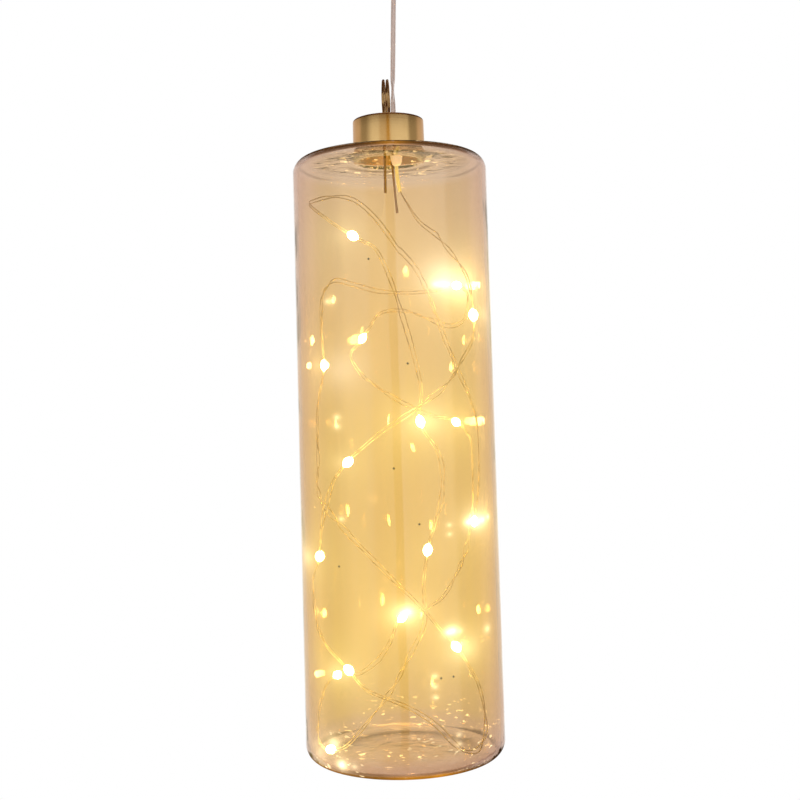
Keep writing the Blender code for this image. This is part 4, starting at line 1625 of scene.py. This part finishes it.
@dataclass
class GlassBody(SubAssembly):
    """The blown cylinder with its lustre."""

    body: ClassVar[Body] = Body.GLASS
    top: float = SHOULDER
    foot: float = FOOT
    top_radius: float = 40.0 * MM
    foot_radius: float = 41.0 * MM
    wall: float = 1.6 * MM
    corner: float = 6.0 * MM
    base: float = 1.7 * MM
    punt_radius: float = 26.0 * MM
    punt_rise: float = 1.6 * MM
    punt_steps: int = 8
    neck_radius: float = 13.6 * MM
    bore: float = 11.9 * MM
    neck_height: float = 11.5 * MM
    root: float = 0.4 * MM
    flare: float = 2.2 * MM
    steps: int = 192
    # Degrees round from the front and millimetres below the shoulder
    seeds: Stops = (
        (-12.7, 46.3), (7.1, 86.7), (-2, 126.5), (10.9, 148), (-35.6, 164), (20.5, 207), (27.9, 207))
    # Painted reflections: where the wall mirrors a lamp
    glints: tuple[WallLight, ...] = (
        (24, 56.4, 1.0, 2.0), (27, 56.4, 1.1, 2.2), (30, 56.4, 1.1, 2.2), (33, 56.4, 1.0, 2.0),
        (37, 56.4, 0.8, 1.6), (41, 148.6, 2.0, 1.8), (45, 148.2, 2.6, 2.2), (49, 149.0, 2.6, 2.2),
        (54, 148.4, 2.2, 2.0), (60, 147.6, 1.6, 1.6), (-43, 233, 1.2, 3.6), (-37.4, 240.6, 3.0, 2.2),
        (25.5, 190, 1.6, 2.0), (28.5, 189.6, 2.4, 2.4), (33, 190, 0.8, 1.6), (2.9, 181.2, 2.2, 3.0),
        (-28.9, 240.4, 0.8, 1.5), (-34.7, 106.5, 1.0, 1.6), (-34.7, 110, 1.0, 1.6), (55.4, 191.4, 1.0, 2.2),
        (17, 206, 0.9, 1.4), (17, 210, 0.9, 1.4), (17, 214, 0.9, 1.3), (28.3, 149, 0.8, 1.3),
        (28.3, 152.5, 0.8, 1.3), (30.3, 229.5, 0.8, 1.3), (30.3, 233, 0.8, 1.3), (-33.4, 145.7, 0.8, 1.5),
        (-39.5, 61.3, 0.9, 1.4), (-36, 61.3, 0.9, 1.4))
    # Painted light: the pale haze that a lamp leaves on the wall
    hazes: tuple[WallLight, ...] = (
        (30, 54, 0.4, 11.5), (-31, 88, 0.18, 13.0), (48, 148, 0.3, 8.0), (2, 182, 0.14, 9.0))
    # Painted light: where a rim gathers light
    rim_glows: tuple[WallLight, ...] = (
        (1.7, 1.0, 0.38, 8.0), (1, 245.0, 0.34, 12.0), (22, 245.0, 0.30, 12.0), (18.7, 245.6, 0.5, 3.0))

    def punt(self) -> list[Pair]:
        """Shapes the punt, the soft rise in the middle of the base.

        Returns:
            Its points from the axis out, as distance from the axis and rise.
        """
        shares = [sin(pi / 2 * k / self.punt_steps) for k in range(self.punt_steps + 1)]
        return [(self.punt_radius * share, self.punt_rise * (1 + cos(pi * share)) / 2) for share in shares]

    def profile(self) -> list[Pair]:
        """Draws the glass's outline on one side of the axis.

        Returns:
            Its points, from the punt up the inside and down the outside.
        """
        inner_corner = self.corner - self.wall
        top_centre = (self.top_radius - self.corner, self.top - self.corner)
        foot_centre = (self.foot_radius - self.corner, self.foot + self.corner)
        floor, ceiling = self.foot + self.base, self.top - self.wall
        lip = (self.neck_radius - self.bore) / 2
        profile = [(r, floor + rise) for r, rise in self.punt()]
        profile += arc((foot_centre[0], floor + inner_corner), inner_corner, -90, 0, 14)
        profile += arc(top_centre, inner_corner, 0, 90, 14)
        profile += arc((self.bore + self.flare, ceiling + self.flare), self.flare, -90, -180, 10)
        profile += arc((self.bore + lip, self.top + self.neck_height - lip), lip, 180, 0, 12)
        profile += arc((self.neck_radius + self.root, self.top + self.root), self.root, 180, 270, 4)
        profile += arc(top_centre, self.corner, 90, 0, 18)
        profile += arc(foot_centre, self.corner, 0, -90, 18)
        return profile + [(r, self.foot + rise) for r, rise in reversed(self.punt())]

    def wall_place(self, angle: float, drop: float) -> Triple:
        """Finds a point on the outer face.

        Args:
            angle: Degrees round from the front.
            drop: Millimetres below the shoulder.

        Returns:
            The point.
        """
        turn = radians(angle)
        share = drop * MM / (self.top - self.foot)
        reach = self.top_radius + (self.foot_radius - self.top_radius) * share
        return (reach * sin(turn), -reach * cos(turn), self.top - drop * MM)

    def build(self, glows: Sequence[LampGlow]) -> None:
        """Makes the glass, with the lamps' light painted into its lustre.

        Args:
            glows: The lamps' halos.
        """
        on_wall = [tuple(LampGlow(self.wall_place(angle, drop), strength, reach * MM)
                         for angle, drop, strength, reach in lights)
                   for lights in (self.glints, self.hazes, self.rim_glows)]
        seeds = tuple(self.wall_place(angle, drop) for angle, drop in self.seeds)
        finish = LustreGlass("lustre_glass", "lustre_glass", tuple(glows), *on_wall, seeds)
        self.add("blown_glass", turned_mesh(self.profile(), self.steps), finish, "glass_body")


def main() -> None:
    """Builds the light in order, from the cord's grip down."""
    logging.basicConfig(level=logging.INFO, format="%(name)s: %(message)s")
    Studio().build()
    PowerCord().build()
    Hanger().build()
    anchor = Anchor()
    anchor.build()
    Cap().build()
    string = LampString()
    string.build(anchor)
    GlassBody().build(string.route.glows)


if __name__ == "__main__":
    main()
